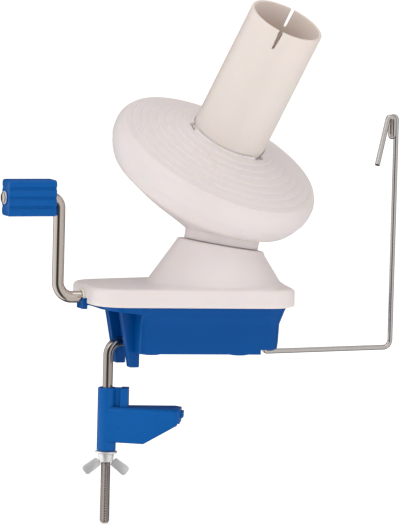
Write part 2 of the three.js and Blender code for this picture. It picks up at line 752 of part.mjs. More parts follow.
function drivePinion() {
  const frame = frameAt(crossing, rotorAxis.clone().negate(), crankAxis.clone().negate());
  const gear = bevelGear(frame, pinionTeeth, driveModule, pinionCone, driveCone, driveFace,
    pinionHub, pinionNose, true);
  return cut(gear, rod(frame, shaftRadius + gap, 0, driveCone + 2 * overrun));
}

function sunGear() {
  const frame = frameAt(meeting, rotorAxis.clone().negate(), leanSide.clone().negate());
  const gear = bevelGear(frame, sunTeeth, spoolModule, sunCone, spoolCone, spoolFace,
    { radius: sunSleeveRadius, root: spoolCone + sunHubDepth, height: pivotRise - gap },
    { radius: sunSleeveRadius, root: spoolCone - spoolFace - sunNose / 2, height: spoolCone - spoolFace - sunNose },
    false);
  const flange = rod(turretFrame, sunFlangeRadius, gap, gap + sunFlangeThickness, 32);
  const spigot = rod(turretFrame, spigotRadius, -turretPlate, gap + overrun, 24);
  return cut(join(gear, flange, spigot),
    rod(turretFrame, shaftRadius + gap, -turretPlate - overrun, pivotRise - spoolCone + spoolFace + sunNose + 3 * overrun));
}

function spoolGear() {
  const frame = frameAt(meeting, spoolAxis.clone().negate(), rotorAxis.clone().negate());
  const gear = bevelGear(frame, spoolTeeth, spoolModule, spoolGearCone, spoolCone, spoolFace,
    { radius: spoolBackHubRadius, root: spoolCone, height: rimDrop + spindleBossTop - gap },
    { radius: spoolHubRadius, root: spoolHubRoot, height: rimDrop - spoolHubTop }, true);
  return cut(gear, rod(frame, spindleRadius + gap, rimDrop - spoolHubTop - overrun, rimDrop + spindleBossTop + overrun));
}

function mainShaft() {
  return cut(rod(turretFrame, shaftRadius, shaftBottom, shaftTop),
    rod(turretFrame, screwRadius + gap, shaftTop - studLength - gap, shaftTop + overrun, 12));
}

// A pan-head screw that holds a hub down on the end of a shaft
function endScrew(frame, shaftEnd, headRadius) {
  return turned([
    [0, shaftEnd - studLength], [screwRadius, shaftEnd - studLength], [screwRadius, shaftEnd + gap],
    [headRadius, shaftEnd + gap], [headRadius, shaftEnd + gap + endScrewHead * 0.6],
    [headRadius * 0.7, shaftEnd + gap + endScrewHead], [0, shaftEnd + gap + endScrewHead],
  ], frame, 20);
}

// Bridge: a ring in the collar, three posts and a hub on the top of the main shaft. The posts
// leave the side free where the spool gear meets the sun gear.
function rotorBridge() {
  const ringOuter = collarRadius - collarWall - gap;
  const ringInner = sunFlangeRadius + bridgeGap;
  const ring = turned([
    [ringInner, bridgeRingBottom], [ringOuter, bridgeRingBottom],
    [ringOuter, bridgeRingTop], [ringInner, bridgeRingTop], [ringInner, bridgeRingBottom],
  ], rotorFrame, 40);
  const postInner = ringInner - bridgePost / 2;
  const legs = bridgeTurns.map((turn) => {
    const frame = rotorFrame.clone().multiply(new THREE.Matrix4().makeRotationZ(turn));
    return join(
      block([postInner, -bridgeWidth / 2, sunFlangeThickness + 2 * gap],
        [postInner + bridgePost, bridgeWidth / 2, bridgeArmTop], frame),
      block([0, -bridgeWidth / 2, bridgeArmTop - bridgeArm],
        [postInner + bridgePost / 2, bridgeWidth / 2, bridgeArmTop], frame),
    );
  });
  const hub = rod(rotorFrame, bridgeHubRadius, bridgeArmTop - bridgeArm, shaftTop);
  return cut(join(ring, hub, ...legs), rod(rotorFrame, shaftRadius + gap, 0, shaftTop + overrun));
}

// The rim of the saucer is one rounded band, shared by the hat above and the dish below.
const bandRadius = (height) => rimCore + (rimRadius - rimCore)
  * Math.sqrt(1 - (height / (height > 0 ? bandRise : bandFall)) ** 2);
const rotorSides = 36;
const funnelShares = [1 / 3, 2 / 3];

// Rotor dish: the collar turns about the turret's axis, and an oblique funnel widens from it
// to the rim, which lies square to the spool's axis.
function rotorDish() {
  const skin = (collar, inset, lift) => {
    const low = circle(rotorFrame, collar, rotorSides, collarHeight + lift);
    const bandHeights = [dishBandEnd, (dishBandEnd + rimSeam) / 2, rimSeam + gap];
    const band = bandHeights.map((drop) =>
      circle(spoolFrame, bandRadius(-drop) - rimInset - inset, rotorSides, lift - drop));
    const ring = (share) => low.map((p, i) => {
      const reach = band[0][i].distanceTo(p);
      return p.clone().lerp(band[0][i], share)
        .addScaledVector(spoolAxis, -dishBulgeShare * reach * Math.sin(Math.PI * share));
    });
    return [low, ...funnelShares.map(ring), ...band];
  };
  const outer = placed(loft([
    circle(rotorFrame, collarRadius, rotorSides, collarClearance),
    ...skin(collarRadius, 0, 0),
  ]), still);
  const inner = placed(loft([
    circle(rotorFrame, collarRadius - collarWall, rotorSides, -overrun),
    ...skin(collarRadius - collarWall, dishWall, dishWall),
  ]), still);
  const boss = rod(spoolFrame, spindleBossRadius, -spindleBossTop - spindleBossDepth, -spindleBossTop)
    .intersect(outer);
  const bore = rod(spoolFrame, spindleRadius + gap, -spindleBottom - gap, 0, 20);
  return cut(join(cut(outer, inner), boss), bore);
}

function spoolSpindle() {
  return cut(rod(spoolFrame, spindleRadius, -spindleBottom, spindleTop),
    rod(spoolFrame, screwRadius + gap, spindleTop - studLength - gap, spindleTop + overrun, 12));
}

// Hat: terraces climb from the rounded rim to the socket of the tube.
const socketOuter = tubeRadius + gap;
const socketInner = tubeRadius - tubeWall - gap;
const hatTopRadius = tubeRadius + gap + socketLip;
const socketFloor = seatRise - tubeSocketDepth;
const ringRise = bandRise * Math.sqrt(1 - ((ringRadius - rimCore) / (rimRadius - rimCore)) ** 2);
const bandSteps = 5;
function spoolHat() {
  const profile = [[spindleRadius + gap, socketFloor - hatWall], [hatTopRadius + hatWall, socketFloor - hatWall]];
  const slope = (seatRise - ringRise) / (ringRadius - hatTopRadius);
  const coneHeight = (r) => ringRise + (ringRadius - r) * slope;
  const wallDrop = (hatWall + terraceStep) / Math.cos(Math.atan(slope));
  for (const r of [hatTopRadius + 2 * hatWall, ringRadius - hatWall]) {
    profile.push([r, coneHeight(r) - wallDrop]);
  }
  profile.push([rimRadius - hatWall - rimInset, 0]);
  profile.push([bandRadius(-rimSeam) - hatWall, -rimSeam]);
  for (let i = 0; i <= bandSteps; i += 1) {
    const height = -rimSeam + (ringRise + rimSeam) * Math.sin((Math.PI / 2) * (i / bandSteps));
    profile.push([bandRadius(height), height]);
  }
  const band = (ringRadius - hatTopRadius) / terraceCount;
  for (let i = 0; i < terraceCount; i += 1) {
    const inner = ringRadius - (i + 1) * band;
    profile.push([inner + terraceLead, coneHeight(inner) - terraceStep]);
    profile.push([inner, coneHeight(inner)]);
  }
  profile.push([socketOuter, seatRise], [socketOuter, socketFloor], [socketInner, socketFloor]);
  profile.push([socketInner, hatDisc], [spindleRadius + gap, hatDisc], profile[0]);
  const hat = turned(profile, spoolFrame, rotorSides);
  const notch = block([tubeRadius - tubeWall / 2, -keyWidth / 2, seatRise - keyDepth],
    [hatTopRadius + keyReach, keyWidth / 2, seatRise + overrun], keyFrame);
  return cut(hat, notch);
}

// Tube: open at both ends, with a saw cut across its top and a key at its foot
function spoolTube() {
  const top = seatRise + tubeLength;
  const wall = turned([
    [tubeRadius - tubeWall, socketFloor + gap], [tubeRadius, socketFloor + gap],
    [tubeRadius, top - tubeEdge], [tubeRadius - tubeEdge, top],
    [tubeRadius - tubeWall + tubeEdge / 2, top], [tubeRadius - tubeWall, top - tubeEdge / 2],
    [tubeRadius - tubeWall, socketFloor + gap],
  ], spoolFrame, 40);
  const key = block([tubeRadius - tubeWall / 2, -keyWidth / 2 + gap, seatRise - keyDepth + gap],
    [hatTopRadius - gap, keyWidth / 2 - gap, seatRise - keyDepth / 2], keyFrame);
  const slotFrame = spoolFrame.clone().multiply(new THREE.Matrix4().makeRotationZ(slotTurn));
  const slot = block([-tubeRadius - overrun, -slotWidth / 2, top - slotDepth],
    [tubeRadius + overrun, slotWidth / 2, top + overrun], slotFrame);
  return cut(join(wall, key), slot);
}

// Clamp
function clampRod() {
  return bentRod([
    new THREE.Vector3(rodInnerX, 0, rodSocketHeight),
    new THREE.Vector3(rodX, 0, rodSocketHeight),
    new THREE.Vector3(rodX, 0, rodBottom),
  ], [rodBend], rodRadius, 20, 8);
}

const jawFrame = at(rodX, 0).multiply(new THREE.Matrix4().makeRotationZ(jawTurn));
const jawSideView = jawFrame.clone().multiply(sideView);
function clampJaw() {
  const rootHalf = jawPostRadius - jawPlate / 4;
  const plan = (margin) => [
    [0, -rootHalf + margin], [jawReach - jawCorner, -jawTipHalfWidth + margin],
    [jawReach - margin, -jawTipHalfWidth + jawCorner], [jawReach - margin, jawTipHalfWidth - jawCorner],
    [jawReach - jawCorner, jawTipHalfWidth - margin], [0, rootHalf - margin],
  ];
  const wide = 2 * jawReach;
  const arm = plate(plan(0), jawHeel, jawTop, jawFrame);
  const slopeCut = plate([
    [jawHeelReach, jawHeel], [jawReach, jawTop - jawTipDepth],
    [wide, jawTop - jawTipDepth], [wide, jawHeel - overrun], [jawHeelReach, jawHeel - overrun],
  ], -wide, wide, jawSideView);
  const pocket = cut(
    plate(plan(jawPlate), jawHeel - overrun, jawTop - jawPlate, jawFrame),
    block([-overrun, -wide, jawHeel - 2 * overrun], [jawPostRadius + jawPlate / 2, wide, jawTop], jawFrame),
    block([jawReach / 2, -jawPlate / 2, jawHeel - 2 * overrun], [wide, jawPlate / 2, jawTop], jawFrame),
  );
  const post = rod(jawFrame, jawPostRadius, jawPostBottom, jawPostTop, 32);
  const web = block([0, -jawPlate, jawTop - jawPlate], [jawStopReach, jawPlate, jawPostTop], jawFrame);
  const stop = block([jawStopReach - jawStopThickness, -jawPostRadius, jawTop - jawPlate],
    [jawStopReach, jawPostRadius, jawPostTop], jawFrame);
  const lip = block([jawReach - jawPlate, -jawLipHalfWidth, jawTop - 2 * jawPlate],
    [jawReach + jawLip, jawLipHalfWidth, jawTop - jawLip], jawFrame);
  return cut(join(cut(arm, slopeCut, pocket), post, web, stop, lip),
    rod(jawFrame, rodRadius + gap, jawPostBottom - overrun, jawPostTop + overrun));
}

const washerTop = jawPostBottom - gap;
const nutTop = washerTop - washerThickness - gap;
const nutFrame = at(rodX, 0, nutTop);
function clampWasher() {
  const frame = at(rodX, 0);
  return cut(rod(frame, washerRadius, washerTop - washerThickness, washerTop),
    rod(frame, rodRadius + gap, washerTop - washerThickness - overrun, washerTop + overrun));
}

// Wing nut, wings downwards
function wingNut() {
  const hub = turned([
    [0, -nutHeight], [nutHubRadius * nutTaperShare, -nutHeight], [nutHubRadius, -nutHeight / 3],
    [nutHubRadius, 0], [0, 0],
  ], nutFrame, 24);
  const wing = (side) => {
    const shape = new THREE.Shape();
    const half = nutWingWidth / 2;
    shape.moveTo(0, -half);
    shape.lineTo(nutWingLength - half * 0.6, -half);
    shape.absarc(nutWingLength - half * 0.6, -half * 0.4, half * 0.6, -Math.PI / 2, 0, false);
    shape.absarc(nutWingLength - half * 0.6, half * 0.4, half * 0.6, 0, Math.PI / 2, false);
    shape.lineTo(0, half);
    const frame = nutFrame.clone()
      .multiply(new THREE.Matrix4().makeRotationZ(nutTurn + (side > 0 ? 0 : Math.PI)))
      .multiply(sideView)
      .multiply(at(nutHubRadius / 3, -nutHeight / 2))
      .multiply(new THREE.Matrix4().makeRotationZ(-nutWingDroop));
    return plate(shape, -nutWingThickness / 2, nutWingThickness / 2, frame);
  };
  return cut(join(hub, wing(1), wing(-1)), rod(nutFrame, rodRadius + gap, -nutWingLength - nutHeight, overrun));
}

// Yarn guide: pivot leg, arm, post and an open loop whose free end slopes down to the ball
const guideFrame = at(guidePivot.x, guidePivot.y).multiply(new THREE.Matrix4().makeRotationZ(guideTurn));
function yarnGuide() {
  const low = guideWireRadius + guideFloat;
  const legTop = guideRecess + guideHoleDepth + clipThickness + 2 * gap + overrun;
  const corners = [
    [0, 0, legTop], [0, 0, low], [guideReach, 0, low], [guideReach, 0, guideHeight],
    [guideReach - loopPitch, 0, guideHeight], [guideReach - loopPitch, 0, guideHeight - loopDrop],
    [guideReach - loopPitch, -loopPitch, guideHeight - loopDrop],
    [guideReach - loopPitch, -loopPitch, guideHeight], [guideReach - 2 * loopPitch, -loopPitch, guideHeight],
    [guideReach - guideTipReach, -guideTipSplay, guideTip],
  ].map((p) => new THREE.Vector3(...p).applyMatrix4(guideFrame));
  const loop = loopPitch / 2 - loopSlack;
  return bentRod(corners, [guideHeelBend, guideBend, loop, loop, loop, loop, loop, loop], guideWireRadius, 10, 5);
}

function guideClip() {
  const from = guideRecess + guideHoleDepth + gap;
  return cut(rod(guideFrame, guideWireRadius + gap + clipWidth, from, from + clipThickness, 20),
    rod(guideFrame, guideWireRadius + gap, from - overrun, from + clipThickness + overrun, 16));
}

add('base_housing', baseBody(), bluePlastic);
add('cover', coverBody(), whitePlastic);
screwPlaces.forEach((place, i) => add(`case_screw_${i + 1}`, caseScrew(place), steel));
add('crank', crankBody(), steel);
add('crank_grip', gripBody(), bluePlastic);
add('grip_washer', gripWasher(), zinc);
add('crank_bush_outer', crankBush(tailBlock), nylon);
add('crank_bush_inner', crankBush(innerBlock), nylon);
add('crank_gear', crankGear(), nylon);
add('drive_pinion', drivePinion(), nylon);
add('main_shaft', mainShaft(), steel);
add('shaft_screw', endScrew(turretFrame, shaftTop, endScrewRadius), steel);
add('sun_gear', sunGear(), nylon);
add('rotor_bridge', rotorBridge(), nylon);
add('rotor_dish', rotorDish(), whitePlastic);
add('spool_spindle', spoolSpindle(), steel);
add('spindle_screw', endScrew(spoolFrame, spindleTop, spindleScrewRadius), steel);
add('spool_gear', spoolGear(), nylon);
add('spool_hat', spoolHat(), whitePlastic);
add('spool_tube', spoolTube(), whitePlastic);
add('clamp_rod', clampRod(), steel);
add('clamp_jaw', clampJaw(), bluePlastic);
add('clamp_washer', clampWasher(), zinc);
add('wing_nut', wingNut(), zinc);
add('yarn_guide', yarnGuide(), wireSteel);
add('guide_clip', guideClip(), zinc);

export default assembly;
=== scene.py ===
import math

import bpy
import numpy as np
from mathutils import Matrix


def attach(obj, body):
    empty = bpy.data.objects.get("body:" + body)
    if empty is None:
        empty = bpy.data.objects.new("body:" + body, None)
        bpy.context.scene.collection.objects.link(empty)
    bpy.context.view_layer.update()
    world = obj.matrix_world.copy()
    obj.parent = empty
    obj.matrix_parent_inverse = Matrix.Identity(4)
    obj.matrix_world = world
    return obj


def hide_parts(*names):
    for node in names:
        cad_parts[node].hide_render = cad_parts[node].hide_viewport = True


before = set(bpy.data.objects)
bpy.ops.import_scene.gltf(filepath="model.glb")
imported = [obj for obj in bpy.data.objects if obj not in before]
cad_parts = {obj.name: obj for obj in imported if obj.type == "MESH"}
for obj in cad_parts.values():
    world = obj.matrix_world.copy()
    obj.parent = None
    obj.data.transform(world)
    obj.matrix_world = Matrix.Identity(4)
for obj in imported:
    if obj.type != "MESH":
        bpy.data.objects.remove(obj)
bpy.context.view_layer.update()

# Base housing: the blue tray under the cover, moulded in one piece with its flared upper band, the flange
# under the tail, two legs that stop against the table's edge, and round pads underneath. Glossy coloured
# plastic, held to the cover by four screws from below.
MM = 0.001
TOLERANCE = 0.001
SEAM, SEAM_GAP = 29.0, 0.3
END_WALL_X, END_WALL_ROUND, TAIL_X = -58.5, 1.6, -86.0
RECESS_X, RECESS_RISE, FLOOR_RISE = 13.0, 3.4, 0.6
FOOT_INSET, FOOT_ROUND = 9.6, 1.1
WALL_RISES = [0, 18.4, 20.5, 23, 25.5, 27.5, SEAM - SEAM_GAP]
WALL_INSETS = [FOOT_INSET, 8.7, 7.9, 7.0, 5.9, 5.1, 4.8]
WALL_STEPS = [8, 13, 18, 18.8, 21, 22.5, 24.2]
FLANGE_FOOT, FLANGE_CLIMB = 24.3, 3.0
FLANGE_EDGE = [(0.35, 5.9), (0.7, 5.2), (0.9, 4.9), (1.0, 5.1)]
SCREW_PLACES = [(21, 21, RECESS_RISE), (21, -21, RECESS_RISE), (-47, 12, FLOOR_RISE),
                (-47, -12, FLOOR_RISE)]
POCKET_RADIUS, POCKET_DEPTH = 3.3, 2.6
PAD_PLACES = [(2, 30), (2, -30), (-50, 20.5), (-50, -20.5)]
PAD_PROFILE = [[5.2, 0], [5.8, 0.15], [6.0, 0.5], [6.0, 1.6]]
MIDDLE_PAD_PROFILE = [[15.4, 0], [15.9, 0.2], [16, 0.6], [16, 1.6]]
LEG_PLAN, LEG_Y, LEG_HALF = [(-67.0, 25.5), (-60.7, -8.5), (-54.8, -8.5), (-54.8, 25.5)], 12.3, 3.0
BEARING_TOP, BEARING_FOOT, BEARING_ROOT_FOOT = 32.1, 25.6, 27.9
GUIDE_FOOT, GUIDE_HOLE = (18, -29.6), [[3.4, 2], [3.4, 3.4], [1.9, 5.2], [1.9, 14]]
ROD_Z, ROD_BORE, ROD_HOLE_FROM, ROD_HOLE_TO = 5.6, 3.3, -70, -40
QUARTER = np.radians([0, 30, 60, 90])
FLOW_CLOUDS, PEEL_CLOUDS, PEEL_STRENGTH, PEEL_DEPTH = 38, 900, 0.12, 0.00006
CASE_PLAN = [[17, -30.5, 18.5], [0, 0, 40.5], [17, 30.5, 18.5], [-66, 14.5, 20], [-66, -14.5, 20]]
TRAY_ARC_STEPS, TRAY_RUN_STEPS = [24, 8, 24, 24, 24], [14, 14, 28, 12, 28]


def hull(discs, arc_steps, run_steps):
    """Outline round a row of discs [x, y, radius], anticlockwise, in rows of centre, radius and outward
    normal. Each disc gives an arc of normals, and neighbours are joined along their common tangent."""
    discs = np.array(discs, float)
    ahead = np.roll(discs, -1, axis=0)
    run = ahead[:, :2] - discs[:, :2]
    length = np.hypot(run[:, 0], run[:, 1])
    leave = np.arctan2(run[:, 1], run[:, 0]) - np.arccos((discs[:, 2] - ahead[:, 2]) / length)
    arrive = np.roll(leave, 1)
    leave = leave + 2 * np.pi * np.ceil((arrive - leave) / (2 * np.pi))
    run_steps = np.broadcast_to(run_steps, len(discs))
    rows = []
    for i, disc in enumerate(discs):
        steps = np.linspace(arrive[i], leave[i], arc_steps[i] + 1)
        middle = np.broadcast_to(disc, (len(steps), 3))
        arc = np.column_stack([middle, np.cos(steps), np.sin(steps)])
        share = (np.arange(1, run_steps[i]) / run_steps[i])[:, None]
        goal = np.array([*ahead[i], math.cos(leave[i]), math.sin(leave[i])])
        rows += [arc, arc[-1] * (1 - share) + goal * share]
    return np.concatenate(rows)


def outline(track, inset=0.0, least=0.4):
    """Points of a hull drawn in by a distance: centre plus what is left of the radius times the normal."""
    return track[:, :2] + np.maximum(track[:, 2] - inset, least)[:, None] * track[:, 3:5]


def lift(points, height):
    """Flat points given a height, one for all or one each."""
    return np.column_stack([points, np.broadcast_to(height, len(points))])


def skin(rings, wrap=False):
    """Closed surface through rings of equal length: quads between neighbours, and one flat face on each end,
    or a band back to the first ring where wrap is set. A volume below zero turns the faces round."""
    rings = np.array(rings, float)
    count, size = rings.shape[:2]
    rows = count if wrap else count - 1
    row, column = np.mgrid[0:rows, 0:size]
    above, beside = (row + 1) % count, (column + 1) % size
    quads = np.stack([row * size + column, row * size + beside,
                      above * size + beside, above * size + column], axis=-1).reshape(-1, 4)
    faces = quads.tolist()
    if not wrap:
        faces += [list(range(size))[::-1], list(range((count - 1) * size, count * size))]
    points = rings.reshape(-1, 3)
    a, b, c, d = (points[quads[:, k]] - points.mean(axis=0) for k in range(4))
    volume = np.einsum("ij,ij->", a, np.cross(b, c)) + np.einsum("ij,ij->", a, np.cross(c, d))
    if volume < 0:
        faces = [face[::-1] for face in faces]
    return points, faces


def frame_at(origin, z, x):
    """A frame as its origin and three rows: z along the given axis, and x the given side less its share
    along z."""
    z = np.array(z, float) / np.linalg.norm(z)
    x = np.array(x, float) - np.dot(x, z) * z
    x /= np.linalg.norm(x)
    return np.array(origin, float), np.array([x, np.cross(z, x), z])


def standing_at(x, y):
    """A level frame at a point of the ground plane: its z axis points up and its x axis along the object."""
    return frame_at((x, y, 0), (0, 0, 1), (1, 0, 0))


def put(points, place):
    """Points of a frame carried into the object's frame: origin plus coordinates times the frame's rows."""
    return place[0] + np.asarray(points) @ place[1]


def oblong(near_x, far_x, half):
    """Corners of a rectangle from one x to another, equally wide on both sides of the x axis."""
    return [(near_x, -half), (far_x, -half), (far_x, half), (near_x, half)]


def slab(corners, low, high, place, corner=0.6, edge=0.4):
    """A convex plate with rounded corners and eased edges: its outline rises from low to high, drawn in near
    both faces along a quarter round."""
    corners = np.array(corners, float)
    ahead = np.roll(corners, -1, axis=0) - corners
    ahead /= np.linalg.norm(ahead, axis=1)[:, None]
    normal = np.stack([ahead[:, 1], -ahead[:, 0]], axis=1)
    before = np.roll(normal, 1, axis=0)
    lean = 1 + np.einsum("ij,ij->i", normal, before)
    centres = corners - corner * (normal + before) / lean[:, None]
    track = hull(np.column_stack([centres, np.full(len(centres), corner)]), [4] * len(centres), 1)
    ins, ups = edge * (1 - np.sin(QUARTER)), edge * (1 - np.cos(QUARTER))
    rings = [lift(outline(track, i), low + u) for i, u in zip(ins, ups)]
    rings += [lift(outline(track, i), high - u) for i, u in zip(ins[::-1], ups[::-1])]
    return skin([put(ring, place) for ring in rings])


def lathe(profile, place, count=96, wrap=False):
    """A profile of [radius, height] turned about the frame's z axis."""
    profile = np.array(profile, float)
    turn = np.linspace(0, 2 * np.pi, count, endpoint=False)
    ring = np.stack([np.cos(turn), np.sin(turn)], axis=1)
    flat = profile[:, None, :1] * ring[None]
    rings = np.concatenate([flat, np.broadcast_to(profile[:, None, 1:], (len(profile), count, 1))], axis=2)
    return skin(put(rings, place), wrap)


def mesh_of(name, shells):
    """One mesh from several closed shells of points, in millimetres, and faces."""
    points = np.concatenate([shell[0] for shell in shells]) * MM
    faces, start = [], 0
    for shell in shells:
        faces += [[v + start for v in face] for face in shell[1]]
        start += len(shell[0])
    mesh = bpy.data.meshes.new(name)
    mesh.from_pydata(points.tolist(), [], faces)
    mesh.validate()
    return mesh


def piece(name, shells, body, material, node, sharp=38):
    """A finished piece: its mesh, smooth but for edges over an angle, its material and body; the CAD part
    that it replaces is hidden.
    """
    mesh = mesh_of(name, shells)
    mesh.shade_smooth()
    mesh.set_sharp_from_angle(angle=math.radians(sharp))
    mesh.materials.append(material)
    thing = bpy.data.objects.new(name, mesh)
    bpy.context.scene.collection.objects.link(thing)
    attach(thing, body)
    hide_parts(node)


def bored(shell, *tools):
    """A shell with other shells cut out of it: the points inside any of them are taken away, exactly."""
    things = []
    for number, part in enumerate([shell, *tools]):
        thing = bpy.data.objects.new(f"bore_{number}", mesh_of("bore", [part]))
        bpy.context.scene.collection.objects.link(thing)
        things.append(thing)
    for tool in things[1:]:
        cut = things[0].modifiers.new("bore", "BOOLEAN")
        cut.object, cut.operation, cut.solver = tool, "DIFFERENCE", "EXACT"
    bpy.context.view_layer.update()
    result = things[0].evaluated_get(bpy.context.evaluated_depsgraph_get()).to_mesh()
    points = np.empty(len(result.vertices) * 3)
    result.vertices.foreach_get("co", points)
    faces = [list(face.vertices) for face in result.polygons]
    for thing in things:
        bpy.data.objects.remove(thing)
    return points.reshape(-1, 3) / MM, faces


def linear(srgb):
    """A screen colour from 0 to 255 as linear light: a straight foot, then a power curve."""
    share = np.array(srgb, float) / 255
    return np.where(share <= 0.04045, share / 12.92, ((share + 0.055) / 1.055) ** 2.4)


def blank_material(name):
    """A new material, its node tree and its Object coordinates."""
    material = bpy.data.materials.new(name)
    material.use_nodes = True
    tree = material.node_tree
    return material, tree, tree.nodes.new("ShaderNodeTexCoord").outputs["Object"]


def clouds(tree, where, scale, detail=2.0):
    """Cloudy noise read at each point, with a number of clouds to the metre."""
    noise = tree.nodes.new("ShaderNodeTexNoise")
    noise.inputs["Scale"].default_value = scale
    noise.inputs["Detail"].default_value = detail
    tree.links.new(where, noise.inputs["Vector"])
    return noise.outputs["Fac"]


def tint(tree, noise, dark, light, span=(0.0, 1.0)):
    """The shader's colour, from dark to light over a span of the noise."""
    tone = tree.nodes.new("ShaderNodeValToRGB")
    for element, position, colour in zip(tone.color_ramp.elements, span, (dark, light)):
        element.position = position
        element.color = (*np.minimum(colour, 1), 1)
    tree.links.new(noise, tone.inputs["Fac"])
    tree.links.new(tone.outputs["Color"], tree.nodes["Principled BSDF"].inputs["Base Color"])


def uneven_gloss(tree, noise, low, high):
    """The shader's roughness, from low to high with the noise."""
    gloss = tree.nodes.new("ShaderNodeMapRange")
    gloss.inputs["To Min"].default_value = low
    gloss.inputs["To Max"].default_value = high
    tree.links.new(noise, gloss.inputs["Value"])
    tree.links.new(gloss.outputs["Result"], tree.nodes["Principled BSDF"].inputs["Roughness"])


def relief(tree, noise, strength, depth):
    """Fine relief that follows the noise, its depth in metres."""
    bump = tree.nodes.new("ShaderNodeBump")
    bump.inputs["Strength"].default_value = strength
    bump.inputs["Distance"].default_value = depth
    tree.links.new(noise, bump.inputs["Height"])
    tree.links.new(bump.outputs["Normal"], tree.nodes["Principled BSDF"].inputs["Normal"])


def moulded(name, srgb, roughness, gloss_spread=0.06, tone_spread=0.03, mirror=0.5, glow=0.0):
    """Injection-moulded plastic: a fine orange-peel relief, faint flow clouds in the colour and patchy gloss.
    glow is the share of the light that goes in and comes out warmer a few millimetres away."""
    material, tree, where = blank_material(name)
    flow = clouds(tree, where, FLOW_CLOUDS, 3)
    colour = linear(srgb)
    tint(tree, flow, colour * (1 - tone_spread), colour * (1 + tone_spread), (0.3, 0.7))
    uneven_gloss(tree, flow, roughness - gloss_spread, roughness + gloss_spread)
    relief(tree, clouds(tree, where, PEEL_CLOUDS), PEEL_STRENGTH, PEEL_DEPTH)
    shader = tree.nodes["Principled BSDF"]
    shader.inputs["IOR"].default_value = 1.5
    shader.inputs["Specular IOR Level"].default_value = mirror
    shader.inputs["Subsurface Weight"].default_value = glow
    shader.inputs["Subsurface Radius"].default_value = (1.0, 0.62, 0.3)
    shader.inputs["Subsurface Scale"].default_value = 0.004
    return material


def split_at(track, inset, x):
    """The track with two equal rows added wherever its outline crosses a given X, for a step in height: each
    is the mean of its neighbours, weighted by their distances from that X."""
    ahead = np.roll(track, -1, axis=0)
    here, there = outline(track, inset)[:, 0] - x, outline(ahead, inset)[:, 0] - x
    crossing = np.flatnonzero(here * there < 0)
    share = (here[crossing] / (here[crossing] - there[crossing]))[:, None]
    rows = track[crossing] * (1 - share) + ahead[crossing] * share
    return np.insert(track, np.repeat(crossing + 1, 2), np.repeat(rows, 2, axis=0), axis=0)


def tray_inset(height):
    """How far the tray's wall stands in from the cover's outline, read between the named rises: a drafted
    wall that flares below the seam."""
    return np.interp(height, WALL_RISES, WALL_INSETS)


def walled_off(points):
    """Points kept in front of the end wall by a soft maximum, which rounds the wall's upright corners: half
    their distance from the wall, and half the root of its square plus the rounding's square."""
    over = points[:, 0] - END_WALL_X
    held = points.copy()
    held[:, 0] = END_WALL_X + (over + np.sqrt(over**2 + END_WALL_ROUND**2)) / 2
    return held


plan = split_at(hull(CASE_PLAN, TRAY_ARC_STEPS, TRAY_RUN_STEPS), FOOT_INSET, RECESS_X)
floor_x = outline(plan, FOOT_INSET)[:, 0]
floor_height = np.where(floor_x > RECESS_X + TOLERANCE, RECESS_RISE, FLOOR_RISE)
at_step = np.flatnonzero(np.abs(floor_x - RECESS_X) < TOLERANCE)
floor_height[at_step[[0, 3]]] = RECESS_RISE
rings = []
for turn in QUARTER:
    drawn_in = walled_off(outline(plan, FOOT_INSET + FOOT_ROUND * (1 - math.sin(turn))))
    rings.append(lift(drawn_in, floor_height + FOOT_ROUND * (1 - math.cos(turn))))
rings += [lift(walled_off(outline(plan, tray_inset(height))), height) for height in WALL_STEPS]
under_tail = outline(plan, tray_inset(WALL_STEPS[-1]))
tail_share = np.clip((END_WALL_X - under_tail[:, 0]) / (END_WALL_X - TAIL_X), 0, 1)
flange_low = FLANGE_FOOT + FLANGE_CLIMB * tail_share
rings.append(lift(under_tail, flange_low))
for share, inset in FLANGE_EDGE:
    rings.append(lift(outline(plan, inset), flange_low + (SEAM - SEAM_GAP - flange_low) * share))
points, faces = skin(rings)
flat_floor = np.flatnonzero(floor_height == FLOOR_RISE)
recess = np.flatnonzero(floor_height == RECESS_RISE)
faces = [face for face in faces if len(face) == 4] + [faces[-1]]
faces += [corners[::-1].tolist() for corners in (flat_floor, recess, at_step)]
pockets = [lathe([[POCKET_RADIUS, -1], [POCKET_RADIUS, rise + POCKET_DEPTH]], standing_at(x, y), 32)
           for x, y, rise in SCREW_PLACES]
guide_hole = lathe(GUIDE_HOLE, standing_at(*GUIDE_FOOT), 24)
rod_hole = lathe([[ROD_BORE, ROD_HOLE_FROM], [ROD_BORE, ROD_HOLE_TO]],
                 frame_at((0, 0, ROD_Z), (1, 0, 0), (0, 0, 1)), 32)
tray = bored((points, faces), *pockets, guide_hole, rod_hole)
pads = [lathe(PAD_PROFILE, standing_at(x, y), 48) for x, y in PAD_PLACES]
pads.append(lathe(MIDDLE_PAD_PROFILE, standing_at(0, 0), 64))
SIDE_VIEW = (np.zeros(3), np.array([[1.0, 0, 0], [0, 0, 1], [0, -1, 0]]))
legs = [slab(LEG_PLAN, y - LEG_HALF, y + LEG_HALF, SIDE_VIEW, 0.7, 0.5) for y in (-LEG_Y, LEG_Y)]
bearing = slab(oblong(-87.8, -84.6, 5.6), BEARING_FOOT, BEARING_TOP, standing_at(0, 0))
bearing_root = slab(oblong(-85.2, -79, 6.6), BEARING_ROOT_FOOT, BEARING_TOP, standing_at(0, 0))
blue_plastic = moulded("blue_plastic", (0, 74, 143), 0.24, mirror=0.12)
piece("base", [tray, *pads, *legs, bearing, bearing_root], "case", blue_plastic,
      "base_housing")

